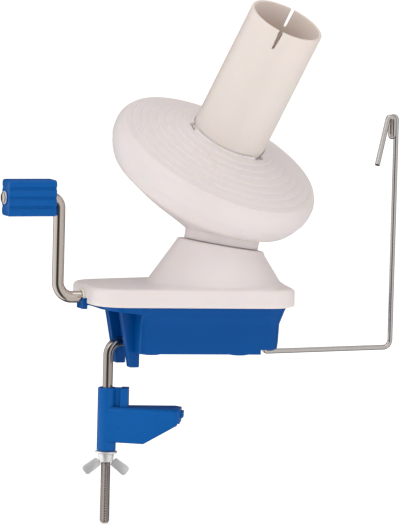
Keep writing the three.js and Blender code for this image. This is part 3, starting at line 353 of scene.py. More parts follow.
# Clamp rod: 6 mm steel, bent at right angles where it leaves the base and threaded below the jaw. Bright
# nickel plate with faint drawing lines.
ROD_X, ROD_INNER_X, ROD_END_Z = -69.0, -38.0, -103.0
ROD_RADIUS, ROD_BEND, ROD_SIDES = 3.0, 8.0, 32
THREAD_FROM, THREAD_PITCH, THREAD_DEPTH, THREAD_RUN_IN = -56.0, 1.0, 0.42, 2.0
STEPS_A_PITCH = 6
TIP_LENGTH, TIP_DEPTH = 1.2, 0.7
HANDLING_CLOUDS, LINE_STRENGTH, LINE_DEPTH, LINE_DARK, LINE_BRIGHT = 60, 0.2, 0.00002, 0.93, 1.05


def bent(corners, radii, step=6):
    """A centre line of straight runs between corners, each corner rounded by an arc of the given radius."""
    corners = np.array(corners, float)
    points = [corners[0]]
    for i in range(1, len(corners) - 1):
        before = corners[i] - corners[i - 1]
        after = corners[i + 1] - corners[i]
        before, after = before / np.linalg.norm(before), after / np.linalg.norm(after)
        turn = math.acos(float(np.clip(before @ after, -1, 1)))
        side = after - (after @ before) * before
        side /= np.linalg.norm(side)
        start = corners[i] - before * radii[i - 1] * math.tan(turn / 2)
        angle = np.linspace(0, turn, max(int(math.degrees(turn) / step), 2) + 1)[:, None]
        points += list(start + radii[i - 1] * (np.sin(angle) * before + (1 - np.cos(angle)) * side))
    return np.array([*points, corners[-1]])


def spread(points, spacing, first, last):
    """A line with points added evenly, spacing apart, between two of its own distances along it."""
    gone = np.concatenate([[0], np.cumsum(np.linalg.norm(np.diff(points, axis=0), axis=1))])
    more = np.arange(first, min(last, gone[-1]), spacing)
    where = np.unique(np.concatenate([gone, more]))
    return np.stack([np.interp(where, gone, points[:, k]) for k in range(3)], axis=1), where


def swept(points, radius, sides, first_side=(0.31, 0.83, 0.46)):
    """A tube along a line: at each point a circle square to the line's direction, its first side carried on
    from the point before, less its share along the line. radius is one number, or one per point and side."""
    ahead = np.gradient(points, axis=0)
    ahead /= np.linalg.norm(ahead, axis=1)[:, None]
    side = np.cross(ahead[0], first_side)
    carried = []
    for direction in ahead:
        side = side - (side @ direction) * direction
        side = side / np.linalg.norm(side)
        carried.append(side)
    across = np.array(carried)
    square = np.cross(ahead, across)
    turn = np.linspace(0, 2 * np.pi, sides, endpoint=False)
    ring = np.cos(turn)[None, :, None] * across[:, None] + np.sin(turn)[None, :, None] * square[:, None]
    return skin(points[:, None] + np.broadcast_to(radius, (len(points), sides))[:, :, None] * ring)


def metal(name, srgb, roughness, line_scale=(900, 900, 30), gloss_spread=0.08, mirror_finish=0.04):
    """Plated metal: fine drawing lines, stretched where the scale is low, in its colour and relief, and a
    gloss that wanders with soft handling clouds but is never finer than a mirror finish."""
    material, tree, where = blank_material(name)
    tree.nodes["Principled BSDF"].inputs["Metallic"].default_value = 1
    stretch = tree.nodes.new("ShaderNodeMapping")
    stretch.inputs["Scale"].default_value = line_scale
    tree.links.new(where, stretch.inputs["Vector"])
    lines = clouds(tree, stretch.outputs["Vector"], 1, 3)
    handling = clouds(tree, where, HANDLING_CLOUDS)
    uneven_gloss(tree, handling, max(roughness - gloss_spread, mirror_finish), roughness + gloss_spread)
    colour = linear(srgb)
    tint(tree, lines, colour * LINE_DARK, colour * LINE_BRIGHT)
    relief(tree, lines, LINE_STRENGTH, LINE_DEPTH)
    return material


line = bent([(ROD_INNER_X, 0, ROD_Z), (ROD_X, 0, ROD_Z), (ROD_X, 0, ROD_END_Z)], [ROD_BEND])
length = np.linalg.norm(np.diff(line, axis=0), axis=1).sum()
thread_start = length - (THREAD_FROM - ROD_END_Z)
line, gone = spread(line, THREAD_PITCH / STEPS_A_PITCH, thread_start, length)
side_turn = np.linspace(0, 1, ROD_SIDES, endpoint=False)
ridge = np.abs(((gone[:, None] / THREAD_PITCH + side_turn[None]) % 1) - 0.5) * 2
cut_in = np.clip((gone - thread_start) / THREAD_RUN_IN, 0, 1)[:, None]
tip = np.clip((length - gone) / TIP_LENGTH, 0, 1)[:, None]
rod_radius = ROD_RADIUS - THREAD_DEPTH * ridge * cut_in - TIP_DEPTH * (1 - tip)
steel = metal("bright_steel", (166, 157, 151), 0.16)
piece("clamp_rod_bent", [swept(line, rod_radius, ROD_SIDES)], "case", steel, "clamp_rod", sharp=60)

# Clamp jaw: a blue moulding that slides and swivels on the rod. A round post, a stop that meets the table's
# edge and a hollow wedge-shaped arm with a rib down its middle and a small lip at its tip.
JAW_TURN = math.radians(-24)
JAW_TOP, JAW_HEEL, JAW_NOSE = -33.0, -54.0, -42.2
JAW_REACH, ROOT_HALF, SHOULDER_REACH, SHOULDER_HALF, NOSE_HALF = 44.0, 5.3, 40.0, 12.5, 8.5
TOP_THICKNESS, SIDE_THICKNESS, RIB_HALF = 2.6, 2.4, 1.3
SIDE_END, SIDE_END_HALF, HEEL_REACH = 43.5, 12.9, 23.0
SIDE_TOP, SIDE_END_SHARE = JAW_TOP - 0.6, 0.97
RIB_START, RIB_HEEL, RIB_NOSE = 5.0, JAW_HEEL + 1, -41.6
NOSE_BACK, NOSE_BACK_HALF, NOSE_FRONT_HALF, NOSE_FOOT = 41.6, 12.3, 8.6, -41.3
POST_TOP, POST_FOOT, POST_RADIUS = -21.8, -59.6, 5.7
jaw_frame = frame_at((ROD_X, 0, 0), (0, 0, 1), (math.cos(JAW_TURN), math.sin(JAW_TURN), 0))


def upright(thickness_from, thickness_to, foot, head, drops):
    """A vertical plate of the jaw from one plan point to another: its corners are the given pairs of
    [share of the run, height]."""
    foot, head = np.array(foot, float), np.array(head, float)
    run = head - foot
    reach = np.hypot(*run)
    along = np.array([*(run / reach), 0.0])
    place = (put([*foot, 0], jaw_frame), np.array([along @ jaw_frame[1], [0, 0, 1.0],
                                                   np.cross(along, [0, 0, 1.0]) @ jaw_frame[1]]))
    corners = [(share * reach, height) for share, height in drops]
    return slab(corners, thickness_from, thickness_to, place, 0.5, 0.35)


under_top = JAW_TOP - 1
arm_plan = [(0, -ROOT_HALF), (SHOULDER_REACH, -SHOULDER_HALF), (JAW_REACH, -NOSE_HALF),
            (JAW_REACH, NOSE_HALF), (SHOULDER_REACH, SHOULDER_HALF), (0, ROOT_HALF)]
top_plate = slab(arm_plan, JAW_TOP - TOP_THICKNESS, JAW_TOP, jaw_frame, 0.8, 0.5)
side_drops = [(0, JAW_HEEL), (HEEL_REACH / JAW_REACH, JAW_HEEL), (SIDE_END_SHARE, JAW_NOSE),
              (SIDE_END_SHARE, SIDE_TOP), (0, SIDE_TOP)]
near = upright(0, -SIDE_THICKNESS, (0, -ROOT_HALF), (SIDE_END, -SIDE_END_HALF), side_drops)
far = upright(0, SIDE_THICKNESS, (0, ROOT_HALF), (SIDE_END, SIDE_END_HALF), side_drops)
rib_drops = [(0, RIB_HEEL), (0.5, RIB_HEEL), (1, RIB_NOSE), (1, under_top), (0, under_top)]
rib = upright(-RIB_HALF, RIB_HALF, (RIB_START, 0), (SIDE_END, 0), rib_drops)
nose_plan = [(NOSE_BACK, -NOSE_BACK_HALF), (JAW_REACH, -NOSE_FRONT_HALF), (JAW_REACH, NOSE_FRONT_HALF),
             (NOSE_BACK, NOSE_BACK_HALF)]
nose = slab(nose_plan, NOSE_FOOT, under_top, jaw_frame, 0.5, 0.35)
post = lathe([[4.9, POST_FOOT], [5.5, POST_FOOT + 0.2], [POST_RADIUS, POST_FOOT + 0.6],
              [POST_RADIUS, POST_TOP - 0.6], [5.5, POST_TOP - 0.2], [5.0, POST_TOP], [ROD_BORE, POST_TOP],
              [ROD_BORE, POST_FOOT]], jaw_frame, 64, wrap=True)
web = slab(oblong(0, 11, 2.6), under_top, POST_TOP - 0.1, jaw_frame, 0.4, 0.3)
stop = slab(oblong(8.1, 12.6, 5.7), under_top, POST_TOP, jaw_frame, 0.5, 0.4)
lip = slab(oblong(41.4, 45.6, 5), -38.2, JAW_TOP - 1.6, jaw_frame, 0.4, 0.3)
post_bore = lathe([[ROD_BORE, -61], [ROD_BORE, -20]], jaw_frame, 48)
top_plate, near, far, web = (bored(part, post_bore) for part in (top_plate, near, far, web))
jaw_blue = moulded("jaw_blue", (2, 88, 162), 0.28, mirror=0.14)
piece("jaw", [top_plate, near, far, rib, nose, post, web, stop, lip], "jaw", jaw_blue,
      "clamp_jaw")

# Washer and wing nut under the jaw: zinc-plated steel, the nut pressed with two drooping wings. The washer
# lies loose on the rod, and the nut turns down the thread.
WASHER_LOW, WASHER_HIGH = -61.1, -59.9
NUT_TOP, NUT_TURN, WING_DROOP = -61.4, math.radians(-20), math.radians(38)
WING_PLAN = [[5.0, -1.2, 1.6], [12.3, -1.0, 2.1], [12.3, 1.0, 2.1], [5.0, 1.2, 1.6]]
WING_EDGE = [(-1, 0.5), (-0.8, 0.1), (-0.5, 0), (0.5, 0), (0.8, 0.1), (1, 0.5)]
WING_HALF, WING_TAPER = 1.15, 0.03
nut_frame = frame_at((ROD_X, 0, NUT_TOP), (0, 0, 1), (math.cos(NUT_TURN), math.sin(NUT_TURN), 0))


def flat_ring(bore, radius, low, high, place, ease_in, ease_up, count):
    """A washer: a plain bore and an outer edge whose two corners are cut back inwards and upwards."""
    return lathe([[bore, low], [radius - ease_in, low], [radius, low + ease_up], [radius, high - ease_up],
                  [radius - ease_in, high], [bore, high]], place, count, wrap=True)


def wing(side):
    """One wing: a flat tongue with a round end, 2 mm thick, that widens and thins outwards as it droops."""
    track = hull(WING_PLAN, [6, 10, 10, 6], 4)
    axis = np.array([math.cos(WING_DROOP) * side, 0, -math.sin(WING_DROOP)])
    across = np.array([math.sin(WING_DROOP) * side, 0, math.cos(WING_DROOP)])
    start = np.array([side * 1.5, 0, -2.4])
    rings = []
    for share, inset in WING_EDGE:
        flat = outline(track, inset)
        thin = WING_HALF - WING_TAPER * (flat[:, 0] - 4)
        rings.append(put(start + flat[:, :1] * axis + flat[:, 1:] * across
                         + np.outer(share * thin, [0, 1, 0]), nut_frame))
    return skin(rings)


zinc = metal("zinc_plate", (250, 250, 249), 0.55, (500, 500, 500))
washer = flat_ring(ROD_BORE, 6.6, WASHER_LOW, WASHER_HIGH, standing_at(ROD_X, 0), 0.3, 0.2, 64)
piece("washer", [washer], "follower", zinc, "clamp_washer")
hub = lathe([[ROD_BORE, -5], [3.9, -5], [4.2, -4.6], [4.6, -1.8], [4.7, -0.5], [4.4, 0], [ROD_BORE, 0]],
            nut_frame, 64, wrap=True)
piece("nut", [hub, wing(1), wing(-1)], "nut", zinc, "wing_nut")

# Crank: a 7 mm steel rod bent twice, turned down inside the grip and riveted over a washer at its end. The
# blue grip is moulded with shallow flutes along it and turns freely on the pin.
CRANK_Z, CRANK_INNER_X, ARM_X, ARM_TOP, ARM_END_X = 32.4, -13.0, -101.7, 91.4, -113.0
CRANK_RADIUS, CRANK_BENDS = 3.5, [9, 6]
PIN_RADIUS, PIN_BORE, PIN_END = 2.5, 2.8, 32.0
GRIP_START_X, HALF_TALL, HALF_DEEP, GRIP_ROUND = -105.6, 10.75, 7.5, 2.6
FLUTE_PLACES, FLUTE_HALF, FLUTE_DEPTH = (-5.4, 0.2, 5.8), 1.5, 0.95
GRIP_ENDS = [(1.0, 0), (0.35, 0.2), (0.08, 0.6), (0, 1.1), (0, 10), (0, 19), (0, 28.5), (0.08, 29),
             (0.35, 29.4), (1, 29.6)]
grip_frame = frame_at((GRIP_START_X, 0, ARM_TOP), (-1, 0, 0), (0, 0, 1))
corner_x, corner_y = HALF_TALL - GRIP_ROUND, HALF_DEEP - GRIP_ROUND
grip_track = hull([[-corner_x, -corner_y, GRIP_ROUND], [corner_x, -corner_y, GRIP_ROUND],
                   [corner_x, corner_y, GRIP_ROUND], [-corner_x, corner_y, GRIP_ROUND]], [8] * 4, 64)


def fluted(inset):
    """The grip's section: a rounded block whose two broad faces each sink into three grooves, every one a
    cosine bowl across its width. The grooves fade out where the block's corners begin to turn."""
    points = outline(grip_track, inset)
    flat = np.clip((np.abs(grip_track[:, 4]) - 0.9) / 0.1, 0, 1)
    depth = np.zeros(len(points))
    for middle in FLUTE_PLACES:
        away = np.abs(points[:, 0] - middle)
        depth += np.where(away < FLUTE_HALF, FLUTE_DEPTH * (1 + np.cos(np.pi * away / FLUTE_HALF)) / 2, 0)
    return points - (depth * flat)[:, None] * grip_track[:, 3:5]


line = bent([(CRANK_INNER_X, 0, CRANK_Z), (ARM_X, 0, CRANK_Z), (ARM_X, 0, ARM_TOP), (ARM_END_X, 0, ARM_TOP)],
            CRANK_BENDS, 5)
arm = swept(spread(line, 6, 0, 400)[0], CRANK_RADIUS, 48)
pin = lathe([[0.01, 5], [PIN_RADIUS, 5], [PIN_RADIUS, 30.7], [3.3, 30.8], [3.35, 31.3], [2.9, 31.7],
             [1.6, 31.95], [0.01, PIN_END]], grip_frame, 48)
crank_steel = metal("crank_steel", (192, 181, 173), 0.14, (900, 900, 60))
piece("crank_rod", [arm, pin], "crank", crank_steel, "crank", sharp=50)
rivet_washer = flat_ring(2.65, 3.9, 29.9, 30.7, grip_frame, 0.2, 0.2, 48)
piece("rivet_washer", [rivet_washer], "crank", zinc, "grip_washer")
grip_block = skin([put(lift(fluted(inset), along), grip_frame) for inset, along in GRIP_ENDS])
pin_hole = lathe([[6.0, -1], [4.1, 7.3], [PIN_BORE, 7.3], [PIN_BORE, PIN_END]], grip_frame, 48)
grip_blue = moulded("grip_blue", (0, 84, 157), 0.28, mirror=0.12)
piece("grip", [bored(grip_block, pin_hole)], "grip", grip_blue, "crank_grip")

# Cover: the white lid of the case, blunt at the crank end and bowed beside the yarn guide, with a soft upper
# edge, moulded in one with the slanted turret that carries the saucer. Satin warm white plastic.
LID_TOP, LID_EDGE, LID_EDGE_FLATNESS = 40.0, 2.6, 0.93
LID_ARC_STEPS, LID_RUN_STEPS = [30, 10, 30, 24, 24], [20, 20, 48, 16, 48]
LID_LOWER_EDGE = [(2.4, 0.5), (2.0, 0), (1.0, 0), (0.5, 0.2), (0.15, 0.55), (0, 1.0), (0, 4)]
TURRET_TILT, TURRET_X, TURRET_TOP = math.radians(9), -3.2, np.array([0.7, 0, 63.0])
TURRET_FOOT, FOOT_FILLET = 43.4, [(41.9, 0.1), (40.9, 0.45), (40.1, 1.05), (39.4, 1.9)]
TURRET_RADIUS, TURRET_EDGE = 26.8, 2.0
HOLE_RADIUS, HOLE_DEPTH, ARCH_RADIUS = 8.0, 3.0, 5.2
rotor_axis = np.array([math.sin(TURRET_TILT), 0, math.cos(TURRET_TILT)])
turret_frame = frame_at(TURRET_TOP, rotor_axis, (1, 0, 0))
lid_track = hull(CASE_PLAN, LID_ARC_STEPS, LID_RUN_STEPS)
bearings = np.arctan2(outline(lid_track)[:, 1], outline(lid_track)[:, 0])
rays = np.stack([np.cos(bearings), np.sin(bearings)], axis=1)


def turret_ring(radius, height, limit):
    """A level circle of the turret's foot, its points at the bearings of the lid's outline, and none of them
    farther from the middle than the limit for its bearing."""
    ring = lift(rays * radius + [TURRET_X, 0], height)
    reach = np.linalg.norm(ring[:, :2], axis=1)
    ring[:, :2] *= (np.minimum(reach, limit) / reach)[:, None]
    return ring


def tilted_ring(radius, height):
    """A circle square to the turret's axis, at a height along it, at the same bearings."""
    return put(lift(rays * radius, height), turret_frame)


rings = [lift(outline(lid_track, inset), SEAM + rise) for inset, rise in LID_LOWER_EDGE]
for turn in np.radians([0, 12, 24, 38, 52, 66, 80, 90]):
    rings.append(lift(outline(lid_track, LID_EDGE * (1 - math.cos(turn))),
                      LID_TOP - LID_EDGE + LID_EDGE * math.sin(turn) * LID_EDGE_FLATNESS))
flat_top = rings[-1]
foot = turret_ring(TURRET_FOOT, LID_TOP, np.linalg.norm(flat_top[:, :2], axis=1) - 0.3)
rings += [(flat_top + foot) / 2, foot]
limit = np.linalg.norm(outline(lid_track, 1.6), axis=1)
rings += [turret_ring(radius, LID_TOP + rise, limit) for radius, rise in FOOT_FILLET]
fillet_end, shoulder = rings[-1], tilted_ring(TURRET_RADIUS, -TURRET_EDGE)
rings += [fillet_end * (1 - share) + shoulder * share for share in (0.2, 0.4, 0.6, 0.8)]
for turn in np.radians([0, 20, 40, 60, 80, 90]):
    rings.append(tilted_ring(TURRET_RADIUS - TURRET_EDGE * (1 - math.cos(turn)),
                             TURRET_EDGE * (math.sin(turn) - 1)))
rings += [tilted_ring(HOLE_RADIUS, 0), tilted_ring(HOLE_RADIUS, -HOLE_DEPTH)]
crank_notch = slab(oblong(-89, -83, 7.5), 20, CRANK_Z, standing_at(0, 0), 0.2, 0.1)
crank_arch = lathe([[ARCH_RADIUS, -92], [ARCH_RADIUS, -82.5]],
                   frame_at((0, 0, CRANK_Z), (1, 0, 0), (0, 0, 1)), 48)
white_plastic = moulded("white_plastic", (226, 217, 216), 0.42, 0.05, 0.012, glow=0.3)
piece("lid", [bored(skin(rings), crank_notch, crank_arch)], "case", white_plastic, "cover")

# Inside the case and the turret: crank bushes, gears, main shaft, sun gear, bridge, spindle and their
# screws. Natural nylon runs on bright steel; the solids keep their shapes.
NYLON_PARTS = ("crank_bush_outer", "crank_bush_inner", "crank_gear", "drive_pinion", "sun_gear",
               "rotor_bridge", "spool_gear")
STEEL_PARTS = ("case_screw_1", "case_screw_2", "case_screw_3", "case_screw_4", "main_shaft", "shaft_screw",
               "spool_spindle", "spindle_screw")
nylon = moulded("natural_nylon", (233, 229, 214), 0.5, 0.06, 0.02)
for names, material in ((NYLON_PARTS, nylon), (STEEL_PARTS, steel)):
    for name in names:
        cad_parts[name].data.materials.clear()
        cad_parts[name].data.materials.append(material)

# Rotor dish: the lower half of the saucer. Its collar turns on the turret, and an oblique funnel swells from
# the collar to the rim, which lies square to the spool's slanted axis. The same warm white plastic.
SPOOL_TILT, REST_TURN = math.radians(27), math.radians(-75)
PIVOT_RISE, RIM_DROP = 85.5, 44.5
RIM_RADIUS, RIM_CORE, BAND_RISE, BAND_FALL = 65.2, 50.5, 13.0, 20.0
COLLAR_RADIUS, COLLAR_TOP, DISH_WALL, SWELL_SHARE = 22.4, 6.0, 2.0, 0.05
COLLAR_FOOT = [(20.4, 0.35), (22.0, 0.35), (22.3, 0.5), (22.4, 0.9), (22.4, 5.2)]
LIP_DROP, FUNNEL_DROP, LIP_STEP = 6.3, 15.0, 0.45
lean_side = np.array([math.cos(REST_TURN), math.sin(REST_TURN), 0]) @ turret_frame[1]
rotor_frame = frame_at(TURRET_TOP, rotor_axis, lean_side)
spool_axis = np.array([math.sin(SPOOL_TILT), 0, math.cos(SPOOL_TILT)]) @ rotor_frame[1]
rim_centre = TURRET_TOP + PIVOT_RISE * rotor_axis - RIM_DROP * spool_axis
spool_frame = frame_at(rim_centre, spool_axis, -rotor_axis)
round_turns = np.linspace(0, 2 * np.pi, 160, endpoint=False)
circle = np.stack([np.cos(round_turns), np.sin(round_turns)], axis=1)


def band_radius(height):
    """The rounded band round the saucer's rim: half an ellipse, taller below the rim plane than above it."""
    half = np.where(np.asarray(height) > 0, BAND_RISE, BAND_FALL)
    return RIM_CORE + (RIM_RADIUS - RIM_CORE) * np.sqrt(1 - (np.asarray(height) / half) ** 2)


def dish_skin(collar, inset, rise):
    """Rings of the dish's skin: the collar's top circle, blended along a straight line that swells by a share
    of its length, as half a sine wave, into the rim's band."""
    low = put(lift(circle * collar, COLLAR_TOP + rise), rotor_frame)
    band = [put(lift(circle * (band_radius(-drop) - LIP_STEP - inset), rise - drop), spool_frame)
            for drop in np.linspace(FUNNEL_DROP, LIP_DROP, 8)]
    reach = np.linalg.norm(band[0] - low, axis=1)
    rings = [low]
    for share in np.linspace(0, 1, 13)[1:-1]:
        swell = -SWELL_SHARE * reach * math.sin(math.pi * share)
        rings.append(low * (1 - share) + band[0] * share + swell[:, None] * spool_axis)
    return [*rings, *band]


collar_foot = [put(lift(circle * radius, height), rotor_frame) for radius, height in COLLAR_FOOT]
outer_skin = dish_skin(COLLAR_RADIUS, 0, 0)
inner_skin = dish_skin(COLLAR_RADIUS - DISH_WALL, DISH_WALL, DISH_WALL)
dish = skin([*collar_foot, *outer_skin, *inner_skin[::-1]], wrap=True)
piece("saucer_dish", [dish], "rotor", white_plastic, "rotor_dish", sharp=50)

# Spool hat: the upper half of the saucer. Rounded terraces climb from the rim band to the foot of the tube,
# where a socket with two notches in its lip takes the tube. It turns on its own slanted spindle.
RING_RADIUS, SEAT_RISE, TERRACES = 62.3, 22.0, 8
HAT_TOP, SOCKET, SOCKET_FLOOR, SOCKET_HUB, HUB_TOP = 24.2, 23.0, 17.0, 20.6, 24.1
SPINDLE_BORE, HUB_SEAT_RADIUS, HUB_SEAT, HAT_WALL, SKIRT = 3.3, 9.0, 18.4, 2.2, -6.0
KEY_TURN, FRONT_NOTCH_TURN, NOTCH_HALF = math.radians(-100), math.radians(24), 4.0
ring_rise = BAND_RISE * math.sqrt(1 - ((RING_RADIUS - RIM_CORE) / (RIM_RADIUS - RIM_CORE)) ** 2)
key_frame, front_frame = (frame_at(rim_centre, spool_axis, np.array([math.cos(turn), math.sin(turn), 0])
                                   @ spool_frame[1]) for turn in (KEY_TURN, FRONT_NOTCH_TURN))
under_socket = SOCKET_FLOOR - HAT_WALL
profile = [[SPINDLE_BORE, HUB_SEAT], [HUB_SEAT_RADIUS, HUB_SEAT], [HUB_SEAT_RADIUS, under_socket],
           [27, under_socket], [57, 5.4], [62.2, 0], [62.0, SKIRT], [float(band_radius(SKIRT)) - 0.3, SKIRT]]
band_heights = SKIRT + (ring_rise - SKIRT) * np.sin(np.linspace(0, np.pi / 2, 16))
profile += [[float(band_radius(height)), height] for height in band_heights]
terrace_radii = np.linspace(RING_RADIUS, HAT_TOP, TERRACES + 1)
terrace_rises = np.linspace(ring_rise, SEAT_RISE, TERRACES + 1)
width = (RING_RADIUS - HAT_TOP) / TERRACES
for radius, low, high in zip(terrace_radii[1:], terrace_rises[:-1], terrace_rises[1:]):
    profile += [[radius + 0.7 * width, low + 0.08 * (high - low)], [radius + 0.24 * width, high - 1.15],
                [radius + 0.17 * width, high - 0.95], [radius + 0.13 * width, high - 0.4],
                [radius + 0.08 * width, high - 0.1], [radius, high]]
profile += [[HAT_TOP - 0.3, SEAT_RISE + 0.05], [SOCKET + 0.1, SEAT_RISE - 0.1], [SOCKET, SEAT_RISE - 0.5],
            [SOCKET, SOCKET_FLOOR], [SOCKET_HUB, SOCKET_FLOOR], [SOCKET_HUB, HUB_TOP - 0.1],
            [SOCKET_HUB - 0.2, HUB_TOP], [SPINDLE_BORE, HUB_TOP]]
notches = [slab(oblong(21.5, 25.7, NOTCH_HALF), SEAT_RISE - 2.6, SEAT_RISE + 2, place, 0.3, 0.1)
           for place in (key_frame, front_frame)]
hat = bored(lathe(profile, spool_frame, 180, wrap=True), *notches)
piece("saucer_hat", [hat], "spool", white_plastic, "spool_hat", sharp=32)

# Spool tube: the plain tube that the ball is wound on, open at both ends, with a narrow slot across its top
# that widens upwards and catches the yarn's end, and a key at its foot. Thin white plastic.
TUBE_RADIUS, TUBE_BORE, TUBE_TOP, TUBE_FOOT = 22.7, 20.9, 103.5, SOCKET_FLOOR + 0.3
SLOT_TURN, SLOT_DEPTH, SLOT_HALF, SLOT_SPREAD = math.radians(140), 12.0, 0.65, 0.6
SLOT_FOOT = TUBE_TOP - SLOT_DEPTH - 1.0
slot_angle = math.asin(SLOT_HALF / TUBE_RADIUS)
slot_centres = np.array([SLOT_TURN, SLOT_TURN + math.pi])
marks = (slot_centres[:, None] + np.array([-1, -1, 1, 1]) * slot_angle).ravel()
turns = np.sort(np.concatenate([np.linspace(0, 2 * np.pi, 144, endpoint=False), np.mod(marks, 2 * np.pi)]))
away = np.abs(np.angle(np.exp(1j * (turns[:, None] - slot_centres)))).min(axis=1)
on_edge = np.abs(away - slot_angle) < 1e-6
in_slot = away < slot_angle - 1e-6
edges = np.flatnonzero(on_edge)
for first, second in zip(edges[::2], edges[1::2]):
    opening = in_slot[(second + 1) % len(turns)]
    in_slot[second if opening else first] = True
top = np.where(in_slot, TUBE_TOP - SLOT_DEPTH, TUBE_TOP)
side = np.sign(np.sin(2 * (turns - SLOT_TURN)))
opened_turns = turns + np.where(on_edge & ~in_slot, side * SLOT_SPREAD / TUBE_RADIUS, 0)
lower_wall = [(TUBE_BORE, TUBE_FOOT), (TUBE_RADIUS, TUBE_FOOT), (TUBE_RADIUS, SOCKET_FLOOR + 30),
              (TUBE_RADIUS, SLOT_FOOT)]
mouth = [(TUBE_RADIUS, -0.6), (22.55, -0.2), (22.2, 0), (21.4, 0), (21.05, -0.15), (TUBE_BORE, -0.5)]


def round_wall(radius, angles, height):
    """A ring of the tube's wall: a circle about the spool's axis, at the given angles and height."""
    return put(lift(np.stack([np.cos(angles), np.sin(angles)], axis=1) * radius, height), spool_frame)


rings = [round_wall(radius, turns, height) for radius, height in lower_wall]
rings += [round_wall(radius, opened_turns, top + height) for radius, height in mouth]
rings.append(round_wall(TUBE_BORE, turns, SLOT_FOOT))
tube = skin(rings, wrap=True)
key = slab(oblong(21.8, 23.9, 3.7), SEAT_RISE - 2.3, SEAT_RISE - 1.3, key_frame, 0.3, 0.2)
tube_white = moulded("tube_white", (224, 214, 208), 0.38, 0.05, 0.01, glow=0.3)
piece("tube", [tube, key], "spool", tube_white, "spool_tube", sharp=50)

# Yarn guide: 3 mm plated wire. It pivots in the base, runs out along the table, stands up beside the saucer
# and ends in an open loop whose free end slopes back to the ball. A push-on ring holds it in its hole.
GUIDE_TURN, WIRE_RADIUS = math.radians(7.2), 1.5
REACH, HEIGHT, LOOP_WIDTH, LOOP_DROP, RUN_Z = 87.2, 141.0, 4.0, 12.0, 1.6
FREE_END = (REACH - 20, -13, 113)
WIRE_BENDS = [3, 4.5] + [1.95] * 6
guide_frame = frame_at((*GUIDE_FOOT, 0), (0, 0, 1), (math.cos(GUIDE_TURN), math.sin(GUIDE_TURN), 0))
corners = [(0, 0, 18), (0, 0, RUN_Z), (REACH, 0, RUN_Z), (REACH, 0, HEIGHT), (REACH - LOOP_WIDTH, 0, HEIGHT),
           (REACH - LOOP_WIDTH, 0, HEIGHT - LOOP_DROP), (REACH - LOOP_WIDTH, -LOOP_WIDTH, HEIGHT - LOOP_DROP),
           (REACH - LOOP_WIDTH, -LOOP_WIDTH, HEIGHT), (REACH - 2 * LOOP_WIDTH, -LOOP_WIDTH, HEIGHT), FREE_END]
line = spread(bent(put(corners, guide_frame), WIRE_BENDS, 10), 5, 0, 500)[0]
wire = metal("guide_wire", (196, 190, 187), 0.24, (600, 600, 80))
piece("guide", [swept(line, WIRE_RADIUS, 24)], "guide", wire, "yarn_guide", sharp=50)
clip = flat_ring(1.8, 3.0, 15.7, 16.7, guide_frame, 0.1, 0.1, 32)
piece("clip", [clip], "guide", zinc, "guide_clip")

# Studio floor: plain pale paper just under the end of the hanging clamp rod. It glows a little, so that it
# stays white to its far edge, and the gloss of the pieces doesn't mirror it.
FLOOR_Z, PAPER_TONE, PAPER_GLOW = -0.104, 0.95, 0.4
bpy.ops.mesh.primitive_plane_add(size=60, location=(0, 0, FLOOR_Z))
floor = bpy.context.object
floor.name = "studio_floor"
floor.visible_glossy = False
paper = bpy.data.materials.new("studio_paper")
paper.use_nodes = True
paper_shader = paper.node_tree.nodes["Principled BSDF"]
paper_shader.inputs["Base Color"].default_value = (PAPER_TONE, PAPER_TONE, PAPER_TONE, 1)
paper_shader.inputs["Roughness"].default_value = 0.9
paper_shader.inputs["Emission Color"].default_value = (1, 1, 1, 1)
paper_shader.inputs["Emission Strength"].default_value = PAPER_GLOW
floor.data.materials.append(paper)

# Camera: far off, a little to the left and above, with a slight roll. The object's origin lies at a named
# pixel of the picture, and a pixel there covers a named number of millimetres.
YAW, PITCH, ROLL, DISTANCE = math.radians(21), math.radians(6.5), math.radians(1.5), 2500.0
MM_PER_PIXEL, ORIGIN_X, ORIGIN_Y = 0.6, 217.0, 348.8
PICTURE_WIDTH, PICTURE_HEIGHT, SENSOR = 400, 524, 36.0
toward = np.array([-math.sin(YAW) * math.cos(PITCH), -math.cos(YAW) * math.cos(PITCH), math.sin(PITCH)])
right = np.array([math.cos(YAW), -math.sin(YAW), 0.0])
upward = np.cross(toward, right)
right, upward = (math.cos(ROLL) * right + math.sin(ROLL) * upward,
                 math.cos(ROLL) * upward - math.sin(ROLL) * right)
aim = MM_PER_PIXEL * ((PICTURE_WIDTH / 2 - ORIGIN_X) * right + (ORIGIN_Y - PICTURE_HEIGHT / 2) * upward)
eye = DISTANCE * toward
back = (eye - aim) / np.linalg.norm(eye - aim)
right = right - (right @ back) * back
right /= np.linalg.norm(right)


def stand(thing, across, over, behind, place):
    """An object set in the scene with its own three axes along the given ones, at a place in metres."""
    bpy.context.scene.collection.objects.link(thing)
    stance = np.eye(4)
    stance[:3] = np.column_stack([across, over, behind, place])
    thing.matrix_world = Matrix(stance.tolist())


lens = bpy.data.cameras.new("camera")
lens.sensor_width = SENSOR
lens.lens = SENSOR * np.linalg.norm(eye - aim) / (PICTURE_HEIGHT * MM_PER_PIXEL)
lens.clip_start, lens.clip_end = 0.1, 100
camera = bpy.data.objects.new("camera", lens)
stand(camera, right, np.cross(back, right), back, eye * MM)
bpy.context.scene.camera = camera

